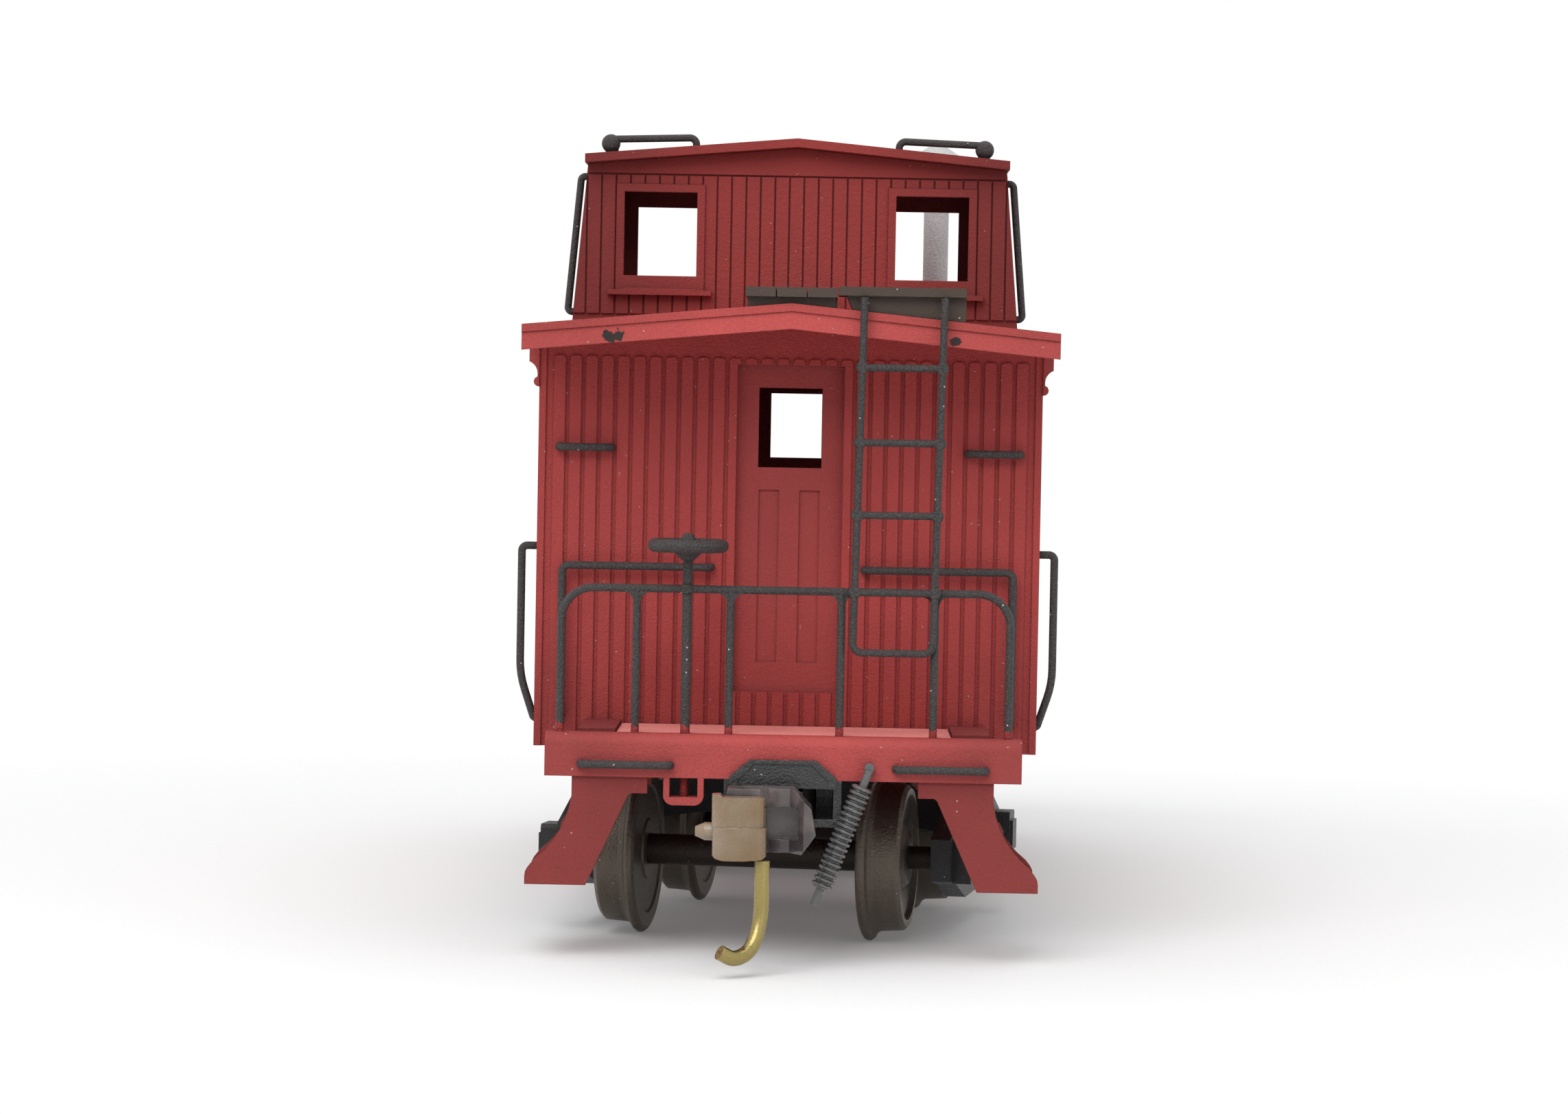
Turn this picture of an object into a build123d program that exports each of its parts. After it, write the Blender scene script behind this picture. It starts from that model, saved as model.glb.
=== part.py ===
"""HO-scale (1:87) wooden caboose with a sloped-side cupola, on two four-wheel trucks.

Axes: +X to the right seen from the front end, +Y along the car to the rear end, +Z up.
The origin is on the floor under the middle of the car. All sizes are in millimetres.
"""

from build123d import *
import math
import os

os.makedirs("parts", exist_ok=True)

# ---------------------------------------------------------------- driving dimensions

# Overall sizes, which the other pieces follow
body_length = 72.5
body_width = 32.2
platform_length = 9.6
wheel_flange_radius = 5.45
floor_above_wheels = 1.7
floor_thickness = 0.8
wall_height = 26.73
eave_overhang = 0.65
beam_inset = 1.3
wheelbase = 20.4
half_length = body_length / 2
half_width = body_width / 2
floor_bottom = 2 * wheel_flange_radius + floor_above_wheels
floor_top = floor_bottom + floor_thickness
roof_eave_top = floor_bottom + wall_height
roof_width = body_width + 2 * eave_overhang
beam_width = body_width - 2 * beam_inset
beam_half = beam_width / 2
beam_face = half_length + platform_length
roof_length = 2 * beam_face - 2.5

# Body
body_bottom = floor_bottom - 0.1
side_sheet = 0.30
end_sheet = 0.45
board_pitch = 1.02
board_width = 0.74
board_depth = 0.15
board_corner = 0.22
board_top = roof_eave_top - 1.78
window_width = 5.0
window_height = 6.6
window_sill_height = floor_bottom + 12.6
window_from_middle = 20.5

# Doors
door_width = 6.85
door_bottom = floor_bottom + 3.6
door_top = roof_eave_top - 2.18
door_lap = 0.3
door_thickness = 0.5
door_window_width = 4.05
door_window_bottom = door_top - 6.55
door_window_top = door_top - 1.45
door_panel_width = 1.3
door_panel_offset = 1.3
door_panel_bottom = floor_bottom + 5.5
door_panel_top = door_top - 8.0
door_panel_depth = 0.14

# Roof
roof_ridge_top = roof_eave_top + 1.59
roof_sheet = 0.5
fascia_drop = 1.1
fascia_thickness = 0.6
fascia_setback = 0.12
cornice_bottom = roof_eave_top - 3.83
cornice_knee = roof_eave_top - 2.93
cornice_lip = roof_eave_top - 2.23
cornice_bead = 0.36
cornice_overrun = 0.2

# Cupola
cupola_length = 23.9
cupola_base_width = body_width - 1.45
cupola_top_width = cupola_base_width - 1.65
cupola_board_bottom = roof_eave_top + 1.47
cupola_board_top = roof_eave_top + 11.07
cupola_board_pitch = 1.0
cupola_board_width = 0.88
cupola_board_depth = 0.18
cupola_sheet = 0.4
cupola_roof_width = cupola_top_width + 0.2
cupola_roof_overhang = 1.3
cupola_eave_top = roof_eave_top + 12.42
cupola_ridge_top = roof_eave_top + 13.72
cupola_roof_thickness = 0.6
cupola_window_width = 5.04
cupola_window_bottom = roof_eave_top + 4.12
cupola_window_top = roof_eave_top + 9.92
cupola_window_offset = cupola_base_width / 2 - 5.975
cupola_side_window_offset = cupola_length / 2 - 6.75
casing_width = 0.54
casing_lower_rail = 1.0
casing_proud = 0.15
sill_width = 7.2
sill_height = 0.35
sill_proud = 0.75

# Underframe
platform_half_width = beam_half - 2.0
platform_board_half_span = platform_half_width - 2.3
platform_board_height = 0.65
platform_board_count = 6
platform_board_gap = 0.07
platform_edge_height = 0.85
beam_thickness = 1.55
beam_bottom = floor_bottom - 1.25
beam_top = floor_bottom + 1.45
beam_round = 0.65
sill_half_width = 2.2
sill_end_bottom = floor_bottom - 1.2
sill_middle_bottom = floor_bottom - 3.2
sill_taper_start = 8.5
sill_middle_half = 4.5
queen_post_y = 4.6
truss_rod_x = half_width - 3.2
truss_rod_low = floor_bottom - 4.2
truss_rod_radius = 0.25

# Wire details
wire_radius = 0.25
wire_bend = 0.45
rail_height = floor_bottom + 10.45
rail_half_width = beam_half - 0.85
rail_corner = 2.0
rail_post_x = (3.45, beam_half - 5.53)
rail_setback = 1.1
solder_web = ((0.8, 0.1), (0.8, 0.22), (0.42, 0.36), (0.28, 0.6), (0.2, 1.0))
solder_thickness = 0.36
staff_x = -6.15
staff_radius = 0.3
staff_clearance = 0.03
staff_eye = 0.14
brake_wheel_radius = 2.1
brake_wheel_rim = 0.42
brake_wheel_height = floor_bottom + 13.15
brake_wheel_spokes = 4
stirrup_width = 2.5
stirrup_drop = 1.7
stirrup_strap = 0.38
stirrup_foot = 0.5
ladder_left = 4.35
ladder_spacing = 4.97
ladder_lean = 0.36
ladder_top = roof_eave_top + 2.02
ladder_bottom = floor_bottom + 6.7
ladder_rungs = (roof_eave_top - 2.33, roof_eave_top - 6.98, roof_eave_top - 11.48)
ladder_radius = 0.23
grab_standoff = 0.8
grab_foot = 0.3
upper_grab_height = floor_bottom + 19.1
upper_grab_inner = half_width - 4.7
upper_grab_outer = half_width - 1.35
corner_grab_height = floor_bottom + 11.55
corner_grab_inner = 4.9
corner_grab_outer = beam_half - 0.4
corner_grab_foot = floor_bottom + 1.85
beam_grab_height = floor_bottom - 0.45
beam_grab_inner = beam_half - 7.8
beam_grab_outer = beam_half - 2.25
beam_grab_standoff = 0.55
side_grab_top = floor_bottom + 12.7
side_grab_knee = floor_bottom + 4.4
side_grab_bottom = floor_bottom + 1.7
side_grab_standoff = 1.0
side_grab_from_end = 1.0
roof_grab_corner = cupola_roof_width / 2 - 1.75
roof_grab_inner = roof_grab_corner - 5.9
roof_grab_rear = cupola_length / 2 - 5.75
roof_grab_height = roof_eave_top + 13.67
roof_grab_setback = 0.75
roof_grab_knob = 0.65
handrail_top = roof_eave_top + 10.97
handrail_bottom = roof_eave_top + 1.57
handrail_standoff = 0.45
handrail_from_end = 0.9

# Roof walks
walk_width = 5.7
walk_top = roof_eave_top + 2.57
walk_thickness = 0.6
walk_gap = 0.07
walk_cupola_gap = 0.35
walk_overhang = 0.35
saddle_thickness = 0.7
saddle_count = 5
lateral_outer = 10.85
lateral_top = roof_eave_top + 2.67
lateral_thickness = 0.56
lateral_depth = 3.6
lateral_bracket = 0.45

# Steps
step_toe = half_width - 0.15
step_top_inner = step_toe - 7.55
step_top_outer = step_toe - 2.85
step_notch_height = floor_bottom - 2.27
step_notch_inner = step_toe - 6.35
step_bottom = 4.55
step_bottom_inner = step_toe - 3.8
step_toe_height = 0.75
step_plate = 0.5
step_depth = platform_length - 2.2
step_front_setback = 0.25
tread_thickness = 0.45
tread_heights = (4.55, 7.9)

# Smokejack and air hose
smokejack_x = half_width - 5.6
smokejack_y = half_length - 14.25
smokejack_radius = 0.95
smokejack_top = roof_eave_top + 15.67
smokejack_cap_radius = 1.8
hose_top = (5.35, floor_bottom - 0.5)
hose_tip = (2.05, 3.7)
hose_front = 0.85
hose_tip_reach = 0.35
hose_radius = 0.5
hose_rib_radius = 0.66
hose_ribs = 19
hose_pipe_radius = 0.26
hose_pipe_share = 0.12
hose_tail_share = 0.13

# Trucks
kingpin_from_wall = 14.8
front_truck_turn = -9.3
wheel_back_gap = 14.4
wheel_tread_radius = wheel_flange_radius - 0.64
wheel_width = 2.8
flange_width = 0.75
tread_taper = 0.09
axle_radius = 1.0
journal_radius = 0.75
axle_cone_start = 11.9
axle_tip = 13.0
bearing_clearance = 0.1
frame_inner = 11.7
frame_thickness = 1.3
journal_box_depth = 1.2
truck_pad_top = floor_bottom - 2.05
truck_bolster_bottom = wheel_flange_radius + 1.75
truck_bolster_width = 3.2
centre_plate_radius = 2.2
centre_plate_gap = 0.05
bolster_plate_bottom = floor_bottom - 1.65
bolster_half_length = half_width - 3.1
bolster_width = 3.0
kingpin_radius = 0.6
kingpin_clearance = 0.06
kingpin_head_radius = 1.15
kingpin_head_height = 0.75
kingpin_top = floor_bottom - 0.3

# Couplers
box_half_width = 3.65
box_bottom = floor_bottom - 4.15
box_wall = 0.5
box_length = 8.9
pivot_from_beam = 4.55
pivot_radius = 1.1
pivot_clearance = 0.07
shank_half_width = 1.25
shank_bottom = floor_bottom - 3.5
shank_top = floor_bottom - 1.95
striker_top = floor_bottom + 0
striker_top_half = 2.05
striker_half = 3.3
striker_thickness = 0.45
striker_rim = 0.24
head_back_y = 2.6
head_front_y = 4.7
guard_reach = 6.6
guard_hollow = 1.05
head_bottom = floor_bottom - 5.3
head_top = floor_bottom - 1.4
head_left = -3.3
head_right = 2.1
knuckle_pin_x = -2.0
knuckle_pin_y = 5.1
knuckle_pin_radius = 0.45
knuckle_clearance = 0.08
knuckle_bottom = floor_bottom - 5.6
knuckle_top = floor_bottom - 1.6
knuckle_slot_bottom = floor_bottom - 4.5
knuckle_slot_top = floor_bottom - 2.5
knuckle_left = -4.2
knuckle_right = -1.0
knuckle_front_y = 7.7
knuckle_back_y = 6.15
trip_pin_radius = 0.47
trip_pin_x = -1.1
trip_pin_low = 1.22
trip_pin_tip = -3.55

# ---------------------------------------------------------------- worked-out places

side_inner = half_width - board_depth - side_sheet
end_sheet_face = half_length - board_depth
end_inner = end_sheet_face - end_sheet
beam_back = beam_face - beam_thickness
roof_slope = (roof_ridge_top - roof_eave_top) / (roof_width / 2)
cupola_half = cupola_length / 2
cupola_lean = (cupola_base_width - cupola_top_width) / 2 / (cupola_board_top - cupola_board_bottom)
cupola_roof_slope = (cupola_ridge_top - cupola_eave_top) / (cupola_roof_width / 2)
kingpin_y = half_length - kingpin_from_wall
axle_height = wheel_flange_radius
truss_rod_end_y = kingpin_y - 4.45
bolster_end_bottom = axle_height + 0.75
bolster_end_top = axle_height + 2.85
box_top = beam_bottom
seat_gap = 0.02


def roof_top_at(x):
    """Height of the main roof's upper face."""
    return roof_ridge_top - roof_slope * abs(x)


def roof_under_at(x):
    """Height of the main roof sheet's lower face."""
    return roof_top_at(x) - roof_sheet


def cupola_roof_at(x):
    """Height of the cupola roof's upper face."""
    return cupola_ridge_top - cupola_roof_slope * abs(x)


def cupola_half_width_at(z):
    """Half the cupola's width over its board faces, at one height."""
    return cupola_base_width / 2 - cupola_lean * (z - cupola_board_bottom)


# ---------------------------------------------------------------- shape helpers


def block(x0, x1, y0, y1, z0, z1):
    """Block between any two opposite corners."""
    middle = ((x0 + x1) / 2, (y0 + y1) / 2, (z0 + z1) / 2)
    return Pos(*middle) * Box(abs(x1 - x0), abs(y1 - y0), abs(z1 - z0))


def across(outline, y0, y1):
    """Plate whose outline is given in (x, z), between two stations along the car."""
    face = Plane.XZ.offset(-y1) * make_face(Polyline(*outline, close=True).edges())
    return extrude(face, amount=y1 - y0, dir=(0, -1, 0))


def along(outline, x0, x1):
    """Plate whose outline is given in (y, z), between two stations across the car."""
    face = Plane.YZ.offset(x0) * make_face(Polyline(*outline, close=True).edges())
    return extrude(face, amount=x1 - x0, dir=(1, 0, 0))


def upright(outline, z0, z1):
    """Plate whose outline is given in (x, y), between two heights."""
    face = Pos(0, 0, z0) * make_face(Polyline(*outline, close=True).edges())
    return extrude(face, amount=z1 - z0, dir=(0, 0, 1))


def rod(start, end, radius):
    """Straight round rod."""
    line = Vector(*end) - Vector(*start)
    base = (Align.CENTER, Align.CENTER, Align.MIN)
    return Plane(origin=start, z_dir=line) * Cylinder(radius, line.length, align=base)


def post(x, y, z0, z1, radius):
    """Upright round post."""
    return rod((x, y, z0), (x, y, z1), radius)


def wire(points, bend=wire_bend, radius=wire_radius):
    """Round wire bent at each inner point."""
    path = FilletPolyline(*points, radius=bend)
    section = Plane(path @ 0, z_dir=path % 0) * Circle(radius)
    return sweep(section, path=path)


def to_rear(shape):
    """The same piece at the other end of the car."""
    return Rot(0, 0, 180) * shape


def both_ends(shapes):
    """Pieces at the front end and their twins at the rear end."""
    return shapes + [to_rear(shape) for shape in shapes]


def save(node, *shapes):
    """Write one sub-part, as a group where it has several pieces."""
    solids = [solid for shape in shapes for solid in shape.solids()]
    whole = solids[0] if len(solids) == 1 else Compound(solids)
    export_step(whole, f"parts/{node}.step")


def groove_outline(length, pitch, board, depth, sheet):
    """Plan of a sheathed wall as (along, outward) points, board faces at zero."""
    gap = pitch - board
    count = int((length - gap) // pitch)
    points = [(-length / 2, -depth - sheet), (-length / 2, 0)]
    for index in range(count):
        middle = (index - (count - 1) / 2) * pitch
        points += [(middle - gap / 2, 0), (middle - gap / 2, -depth)]
        points += [(middle + gap / 2, -depth), (middle + gap / 2, 0)]
    return points + [(length / 2, 0), (length / 2, -depth - sheet)]


# ---------------------------------------------------------------- body walls


def side_wall(side):
    """Sheathed side, with two plain window openings."""
    plan = groove_outline(body_length, board_pitch, board_width, board_depth, side_sheet)
    outline = [(side * (half_width + outward), where) for where, outward in plan]
    wall = upright(outline, body_bottom, roof_under_at(half_width) - seat_gap)
    for y in (-window_from_middle, window_from_middle):
        low = window_sill_height
        wall -= block(side * half_width - 2, side * half_width + 2, y - window_width / 2,
                      y + window_width / 2, low, low + window_height)
    return wall


def end_wall():
    """Sheathed end with a gable, a doorway and a notch for the floor."""
    eave = roof_under_at(side_inner) - seat_gap
    ridge = roof_under_at(0) - seat_gap
    gable = [(-side_inner, body_bottom), (-side_inner, eave), (0, ridge),
             (side_inner, eave), (side_inner, body_bottom)]
    wall = across(gable, -end_sheet_face, -end_inner)
    count = int(2 * side_inner // board_pitch)
    height = board_top - body_bottom
    boards = Sketch()
    for index in range(count):
        middle = (index - (count - 1) / 2) * board_pitch
        boards += Pos(middle, body_bottom + height / 2) * RectangleRounded(
            board_width, height, board_corner)
    face = Plane.XZ.offset(end_sheet_face) * boards
    wall += extrude(face, amount=board_depth, dir=(0, -1, 0))
    half_door = door_width / 2
    wall -= block(-half_door, half_door, -half_length - 1, -end_inner + 1, door_bottom, door_top)
    notch = platform_half_width + seat_gap
    wall -= block(-notch, notch, -half_length - 1, -end_inner + 1, 0, floor_top)
    return wall


def end_door():
    """Flat door leaf behind the doorway, with a window and two sunk panels."""
    half = door_width / 2 + door_lap
    back = -end_inner + door_thickness
    leaf = block(-half, half, -end_inner, back, door_bottom - door_lap, door_top + door_lap)
    half_window = door_window_width / 2
    leaf -= block(-half_window, half_window, -end_inner - 1, back + 1,
                  door_window_bottom, door_window_top)
    for x in (-door_panel_offset, door_panel_offset):
        leaf -= block(x - door_panel_width / 2, x + door_panel_width / 2, -end_inner - 1,
                      -end_inner + door_panel_depth, door_panel_bottom, door_panel_top)
    return leaf


save("side_wall_left", side_wall(-1))
save("side_wall_right", side_wall(1))
save("end_wall_front", end_wall())
save("end_wall_rear", to_rear(end_wall()))
save("end_doors", *both_ends([end_door()]))

# ---------------------------------------------------------------- main roof


def gable_strip(half, under, top, y0, y1):
    """Strip that follows a roof's slope from eave to eave."""
    outline = [(-half, under(half)), (0, under(0)), (half, under(half)),
               (half, top(half)), (0, top(0)), (-half, top(half))]
    return across(outline, y0, y1)


def main_roof():
    """Bent roof sheet, open under the cupola."""
    half = roof_width / 2
    sheet = gable_strip(half, roof_under_at, roof_top_at, -roof_length / 2, roof_length / 2)
    inside = cupola_half_width_at(cupola_board_top) - 1
    reach = cupola_half - 1
    return sheet - block(-inside, inside, -reach, reach, 0, roof_ridge_top + 1)


def end_fascia():
    """Board under the end edge of the roof."""
    front = -roof_length / 2 + fascia_setback
    return gable_strip(roof_width / 2, lambda x: roof_under_at(x) - fascia_drop, roof_under_at,
                       front, front + fascia_thickness)


def cornice(side):
    """Moulding under one eave, as long as the body."""
    wall = side * half_width
    lip = side * roof_width / 2
    foot = ThreePointArc((wall, cornice_bottom), (wall + side * cornice_bead, cornice_bottom + 0.3),
                         (wall + side * 0.12, cornice_bottom + 0.65))
    hollow = ThreePointArc((wall + side * 0.12, cornice_knee - 0.05),
                           (wall + side * 0.3, cornice_knee + 0.45), (lip, cornice_lip))
    curve = [foot @ (step / 5) for step in range(6)] + [hollow @ (step / 5) for step in range(6)]
    outline = [(point.X, point.Y) for point in curve]
    outline += [(lip, roof_under_at(lip)), (wall, roof_under_at(wall))]
    return across(outline, -half_length - cornice_overrun, half_length + cornice_overrun)


save("main_roof", main_roof())
save("roof_end_fascias", *both_ends([end_fascia()]))
save("eave_cornices", cornice(-1), cornice(1))

# ---------------------------------------------------------------- cupola

cupola_inner = cupola_half - cupola_board_depth - cupola_sheet


def cupola_under(x):
    """Height where the cupola walls end, just under their roof."""
    return cupola_roof_at(x) - cupola_roof_thickness - seat_gap


def cupola_seat_at(x):
    """Height where the cupola walls start, just above the main roof."""
    return roof_top_at(x) + seat_gap


def cupola_end_wall():
    """Sheathed cupola end between the sloped sides, with two window openings."""
    foot = cupola_half_width_at(roof_top_at(cupola_base_width / 2))
    head = cupola_half_width_at(cupola_under(cupola_top_width / 2))
    outline = [(-foot, cupola_seat_at(foot)), (-head, cupola_under(head)), (0, cupola_under(0)),
               (head, cupola_under(head)), (foot, cupola_seat_at(foot)), (0, cupola_seat_at(0))]
    face_y = -cupola_half + cupola_board_depth
    wall = across(outline, face_y, -cupola_inner)
    low = cupola_half_width_at(cupola_board_bottom)
    high = cupola_half_width_at(cupola_board_top)
    field = across([(-low, cupola_board_bottom), (-high, cupola_board_top),
                    (high, cupola_board_top), (low, cupola_board_bottom)], -cupola_half, face_y)
    gap = cupola_board_pitch - cupola_board_width
    count = int(cupola_base_width // cupola_board_pitch)
    for index in range(count):
        x = (index - (count - 1) / 2) * cupola_board_pitch
        field -= block(x - gap / 2, x + gap / 2, -cupola_half - 1, face_y,
                       cupola_board_bottom - 1, cupola_board_top + 1)
    cap = across([(-high, cupola_board_top + gap), (-head, cupola_under(head)),
                  (0, cupola_under(0)), (head, cupola_under(head)),
                  (high, cupola_board_top + gap)], -cupola_half, face_y)
    wall = wall + field + cap
    for x in (-cupola_window_offset, cupola_window_offset):
        wall -= window_block(x, casing_width, -cupola_half - 1, face_y, casing_lower_rail)
        wall -= window_block(x, 0, -cupola_half - 1, -cupola_inner + 1, 0)
    return wall


def window_block(x, margin, y0, y1, lower):
    """Block over one cupola window, wider than its opening by a margin."""
    half = cupola_window_width / 2 + margin
    return block(x - half, x + half, y0, y1, cupola_window_bottom - lower,
                 cupola_window_top + margin)


def cupola_casing(x):
    """Window frame set into the boards, with its sill."""
    front = -cupola_half - casing_proud
    back = -cupola_half + cupola_board_depth
    frame = window_block(x, casing_width, front, back, casing_lower_rail)
    frame -= window_block(x, 0, front - 1, back + 1, 0)
    sill_top = cupola_window_bottom - casing_lower_rail
    sill = block(x - sill_width / 2, x + sill_width / 2, -cupola_half - sill_proud,
                 -cupola_half, sill_top - sill_height, sill_top)
    lip = block(x - cupola_window_width / 2, x + cupola_window_width / 2, -cupola_half - sill_proud,
                front, sill_top, sill_top + 0.1)
    return frame + sill + lip


def cupola_side_wall(side):
    """Sheathed cupola side, leaning inwards, with two window openings."""
    length = 2 * cupola_inner
    plan = groove_outline(length, cupola_board_pitch, cupola_board_width,
                          cupola_board_depth, cupola_sheet)
    outline = [(side * outward, where) for where, outward in plan]
    flat = upright(outline, -8, 8)
    angle = math.degrees(math.atan(cupola_lean))
    middle = (cupola_board_bottom + cupola_board_top) / 2
    leaning = Pos(side * cupola_half_width_at(middle), 0, middle) * Rot(0, -side * angle, 0) * flat
    reach = cupola_base_width
    band = across([(0, cupola_seat_at(0)), (side * reach, cupola_seat_at(reach)),
                   (side * reach, cupola_under(reach)), (0, cupola_under(0))],
                  -cupola_half, cupola_half)
    wall = leaning & band
    for y in (-cupola_side_window_offset, cupola_side_window_offset):
        half = cupola_window_width / 2
        wall -= block(side * 10, side * 20, y - half, y + half,
                      cupola_window_bottom, cupola_window_top)
    return wall


def cupola_roof():
    """Shallow peaked roof, overhanging both cupola ends."""
    reach = cupola_half + cupola_roof_overhang
    half = cupola_roof_width / 2
    return gable_strip(half, lambda x: cupola_roof_at(x) - cupola_roof_thickness,
                       cupola_roof_at, -reach, reach)


save("cupola_wall_front", cupola_end_wall())
save("cupola_wall_rear", to_rear(cupola_end_wall()))
save("cupola_wall_left", cupola_side_wall(-1))
save("cupola_wall_right", cupola_side_wall(1))
save("cupola_roof", cupola_roof())
casings = [cupola_casing(x) for x in (-cupola_window_offset, cupola_window_offset)]
save("cupola_window_casings", *both_ends(casings))

# ---------------------------------------------------------------- underframe


def floor_deck():
    """Floor sheet through the whole car, with raised edges beside the platform boards."""
    inside = side_inner - seat_gap
    deck = block(-inside, inside, -end_inner, end_inner, floor_bottom, floor_top)
    deck += block(-platform_half_width, platform_half_width, -beam_back, beam_back,
                  floor_bottom, floor_top)
    for end in (-1, 1):
        near, far = sorted((end * half_length, end * beam_back))
        for side in (-1, 1):
            low, high = sorted((side * platform_board_half_span, side * platform_half_width))
            deck += block(low, high, near, far, floor_top, floor_top + platform_edge_height)
    return deck


def platform_boards():
    """Boards laid across one end platform."""
    pitch = (beam_back - half_length) / platform_board_count
    half = platform_board_half_span - platform_board_gap
    boards = []
    for index in range(platform_board_count):
        start = -beam_back + index * pitch
        boards.append(block(-half, half, start + platform_board_gap / 2,
                            start + pitch - platform_board_gap / 2,
                            floor_top, floor_top + platform_board_height))
    return boards


def end_beam():
    """End sill across the platform, rounded along its upper front edge."""
    half = beam_width / 2
    beam = block(-half, half, -beam_face, -beam_back, beam_bottom, beam_top)
    edges = beam.edges().filter_by(Axis.X)
    upper_front = edges.sort_by(lambda edge: edge.center().Z - edge.center().Y)[-1]
    beam = fillet(upper_front, beam_round)
    beam -= post(staff_x, staff_y, beam_bottom - 1, beam_top + 1, staff_radius + staff_clearance)
    for x in rail_feet():
        beam -= post(x, -rail_y, beam_top - grab_foot, beam_top + 1, wire_radius)
    return beam


def rail_feet():
    """Places across the car where the railing's posts stand."""
    inner = [side * x for side in (-1, 1) for x in rail_post_x]
    return inner + [-rail_half_width, rail_half_width]


def centre_sill():
    """Backbone under the floor, deeper between the trucks."""
    outline = [(-beam_back, sill_end_bottom), (-sill_taper_start, sill_end_bottom),
               (-sill_middle_half, sill_middle_bottom), (sill_middle_half, sill_middle_bottom),
               (sill_taper_start, sill_end_bottom), (beam_back, sill_end_bottom),
               (beam_back, floor_bottom), (-beam_back, floor_bottom)]
    sill = along(outline, -sill_half_width, sill_half_width)
    for y in (-kingpin_y, kingpin_y):
        sill -= post(0, y, sill_end_bottom - 1, kingpin_top, kingpin_radius)
    return sill


def body_bolster():
    """Cross member over one truck, with its centre plate."""
    y0, y1 = -kingpin_y - bolster_width / 2, -kingpin_y + bolster_width / 2
    plate = block(-bolster_half_length, bolster_half_length, y0, y1,
                  bolster_plate_bottom, sill_end_bottom)
    for side in (-1, 1):
        low, high = sorted((side * sill_half_width, side * bolster_half_length))
        plate += block(low, high, y0, y1, sill_end_bottom, floor_bottom)
    plate += post(0, -kingpin_y, truck_pad_top + centre_plate_gap, bolster_plate_bottom,
                  centre_plate_radius)
    return plate - post(0, -kingpin_y, truck_pad_top, sill_end_bottom, kingpin_radius)


def kingpin_screw():
    """Shouldered screw that a truck swings on."""
    head_top = truck_bolster_bottom - centre_plate_gap
    head = post(0, -kingpin_y, head_top - kingpin_head_height, head_top, kingpin_head_radius)
    slot = block(-kingpin_head_radius, kingpin_head_radius, -kingpin_y - 0.15, -kingpin_y + 0.15,
                 head_top - kingpin_head_height, head_top - kingpin_head_height / 2)
    return head - slot + post(0, -kingpin_y, head_top, kingpin_top, kingpin_radius)


def truss_rod(side):
    """Tension rod under one side, carried on two queen posts."""
    x = side * truss_rod_x
    low = truss_rod_low
    points = [(x, -truss_rod_end_y, floor_bottom), (x, -queen_post_y, low),
              (x, queen_post_y, low), (x, truss_rod_end_y, floor_bottom)]
    bent = wire(points, bend=3.0, radius=truss_rod_radius)
    bent -= block(x - 1, x + 1, -beam_face, beam_face, floor_bottom, floor_top + 1)
    for y in (-queen_post_y, queen_post_y):
        bent += post(x, y, low, floor_bottom, 0.45)
    return bent + rod((x, -1.2, low), (x, 1.2, low), 0.5)


rail_y = beam_face - rail_setback
staff_y = -rail_y
ladder_y = -rail_y - wire_radius - ladder_radius

save("floor_deck", floor_deck())
save("platform_boards", *both_ends(platform_boards()))
save("end_beam_front", end_beam())
save("end_beam_rear", to_rear(end_beam()))
save("centre_sill", centre_sill())
save("body_bolsters", *both_ends([body_bolster()]))
save("kingpin_screws", *both_ends([kingpin_screw()]))
save("truss_rods", truss_rod(-1), truss_rod(1))

# ---------------------------------------------------------------- steps


def step_outline(side):
    """Outline of a step's side plate, sweeping out to the toe."""
    toe_top = step_bottom + step_toe_height
    neck = (step_top_outer, step_notch_height - 0.2)
    belly = (step_top_outer + 0.72, step_bottom + 3.35)
    curve = ThreePointArc(neck, belly, (step_toe - 0.45, toe_top + 0.65))
    sweep_points = [curve @ (part / 6) for part in range(7)]
    points = [(step_top_inner, beam_bottom), (step_top_outer, beam_bottom)]
    points += [(point.X, point.Y) for point in sweep_points]
    points += [(step_toe - 0.16, toe_top + 0.28), (step_toe - 0.04, toe_top + 0.05),
               (step_toe, toe_top - 0.25), (step_toe, step_bottom), (step_bottom_inner, step_bottom),
               (step_notch_inner, step_notch_height - 0.15),
               (step_notch_inner - 0.2, step_notch_height), (step_top_inner, step_notch_height)]
    return [(side * x, z) for x, z in points]


def steps(side):
    """Two side plates joined by two treads."""
    front = -beam_face + step_front_setback
    back = front + step_depth
    outline = step_outline(side)
    piece = across(outline, front, front + step_plate)
    piece += across(outline, back - step_plate, back)
    hanger = sorted((side * step_top_inner, side * step_top_outer))
    piece += block(hanger[0], hanger[1], back - step_plate, back, beam_bottom, floor_bottom)
    for height in tread_heights:
        fall = (height - step_bottom) / (step_notch_height - step_bottom)
        inner = step_bottom_inner + (step_notch_inner - step_bottom_inner) * fall + 0.1
        outer = inner + 3.0 if height > step_bottom else step_toe - 0.1
        low, high = sorted((side * inner, side * outer))
        piece += block(low, high, front + step_plate, back - step_plate,
                       height, height + tread_thickness)
    return piece


save("steps_front_left", steps(-1))
save("steps_front_right", steps(1))
save("steps_rear_right", to_rear(steps(-1)))
save("steps_rear_left", to_rear(steps(1)))

# ---------------------------------------------------------------- railing, ladder, brake staff


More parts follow.
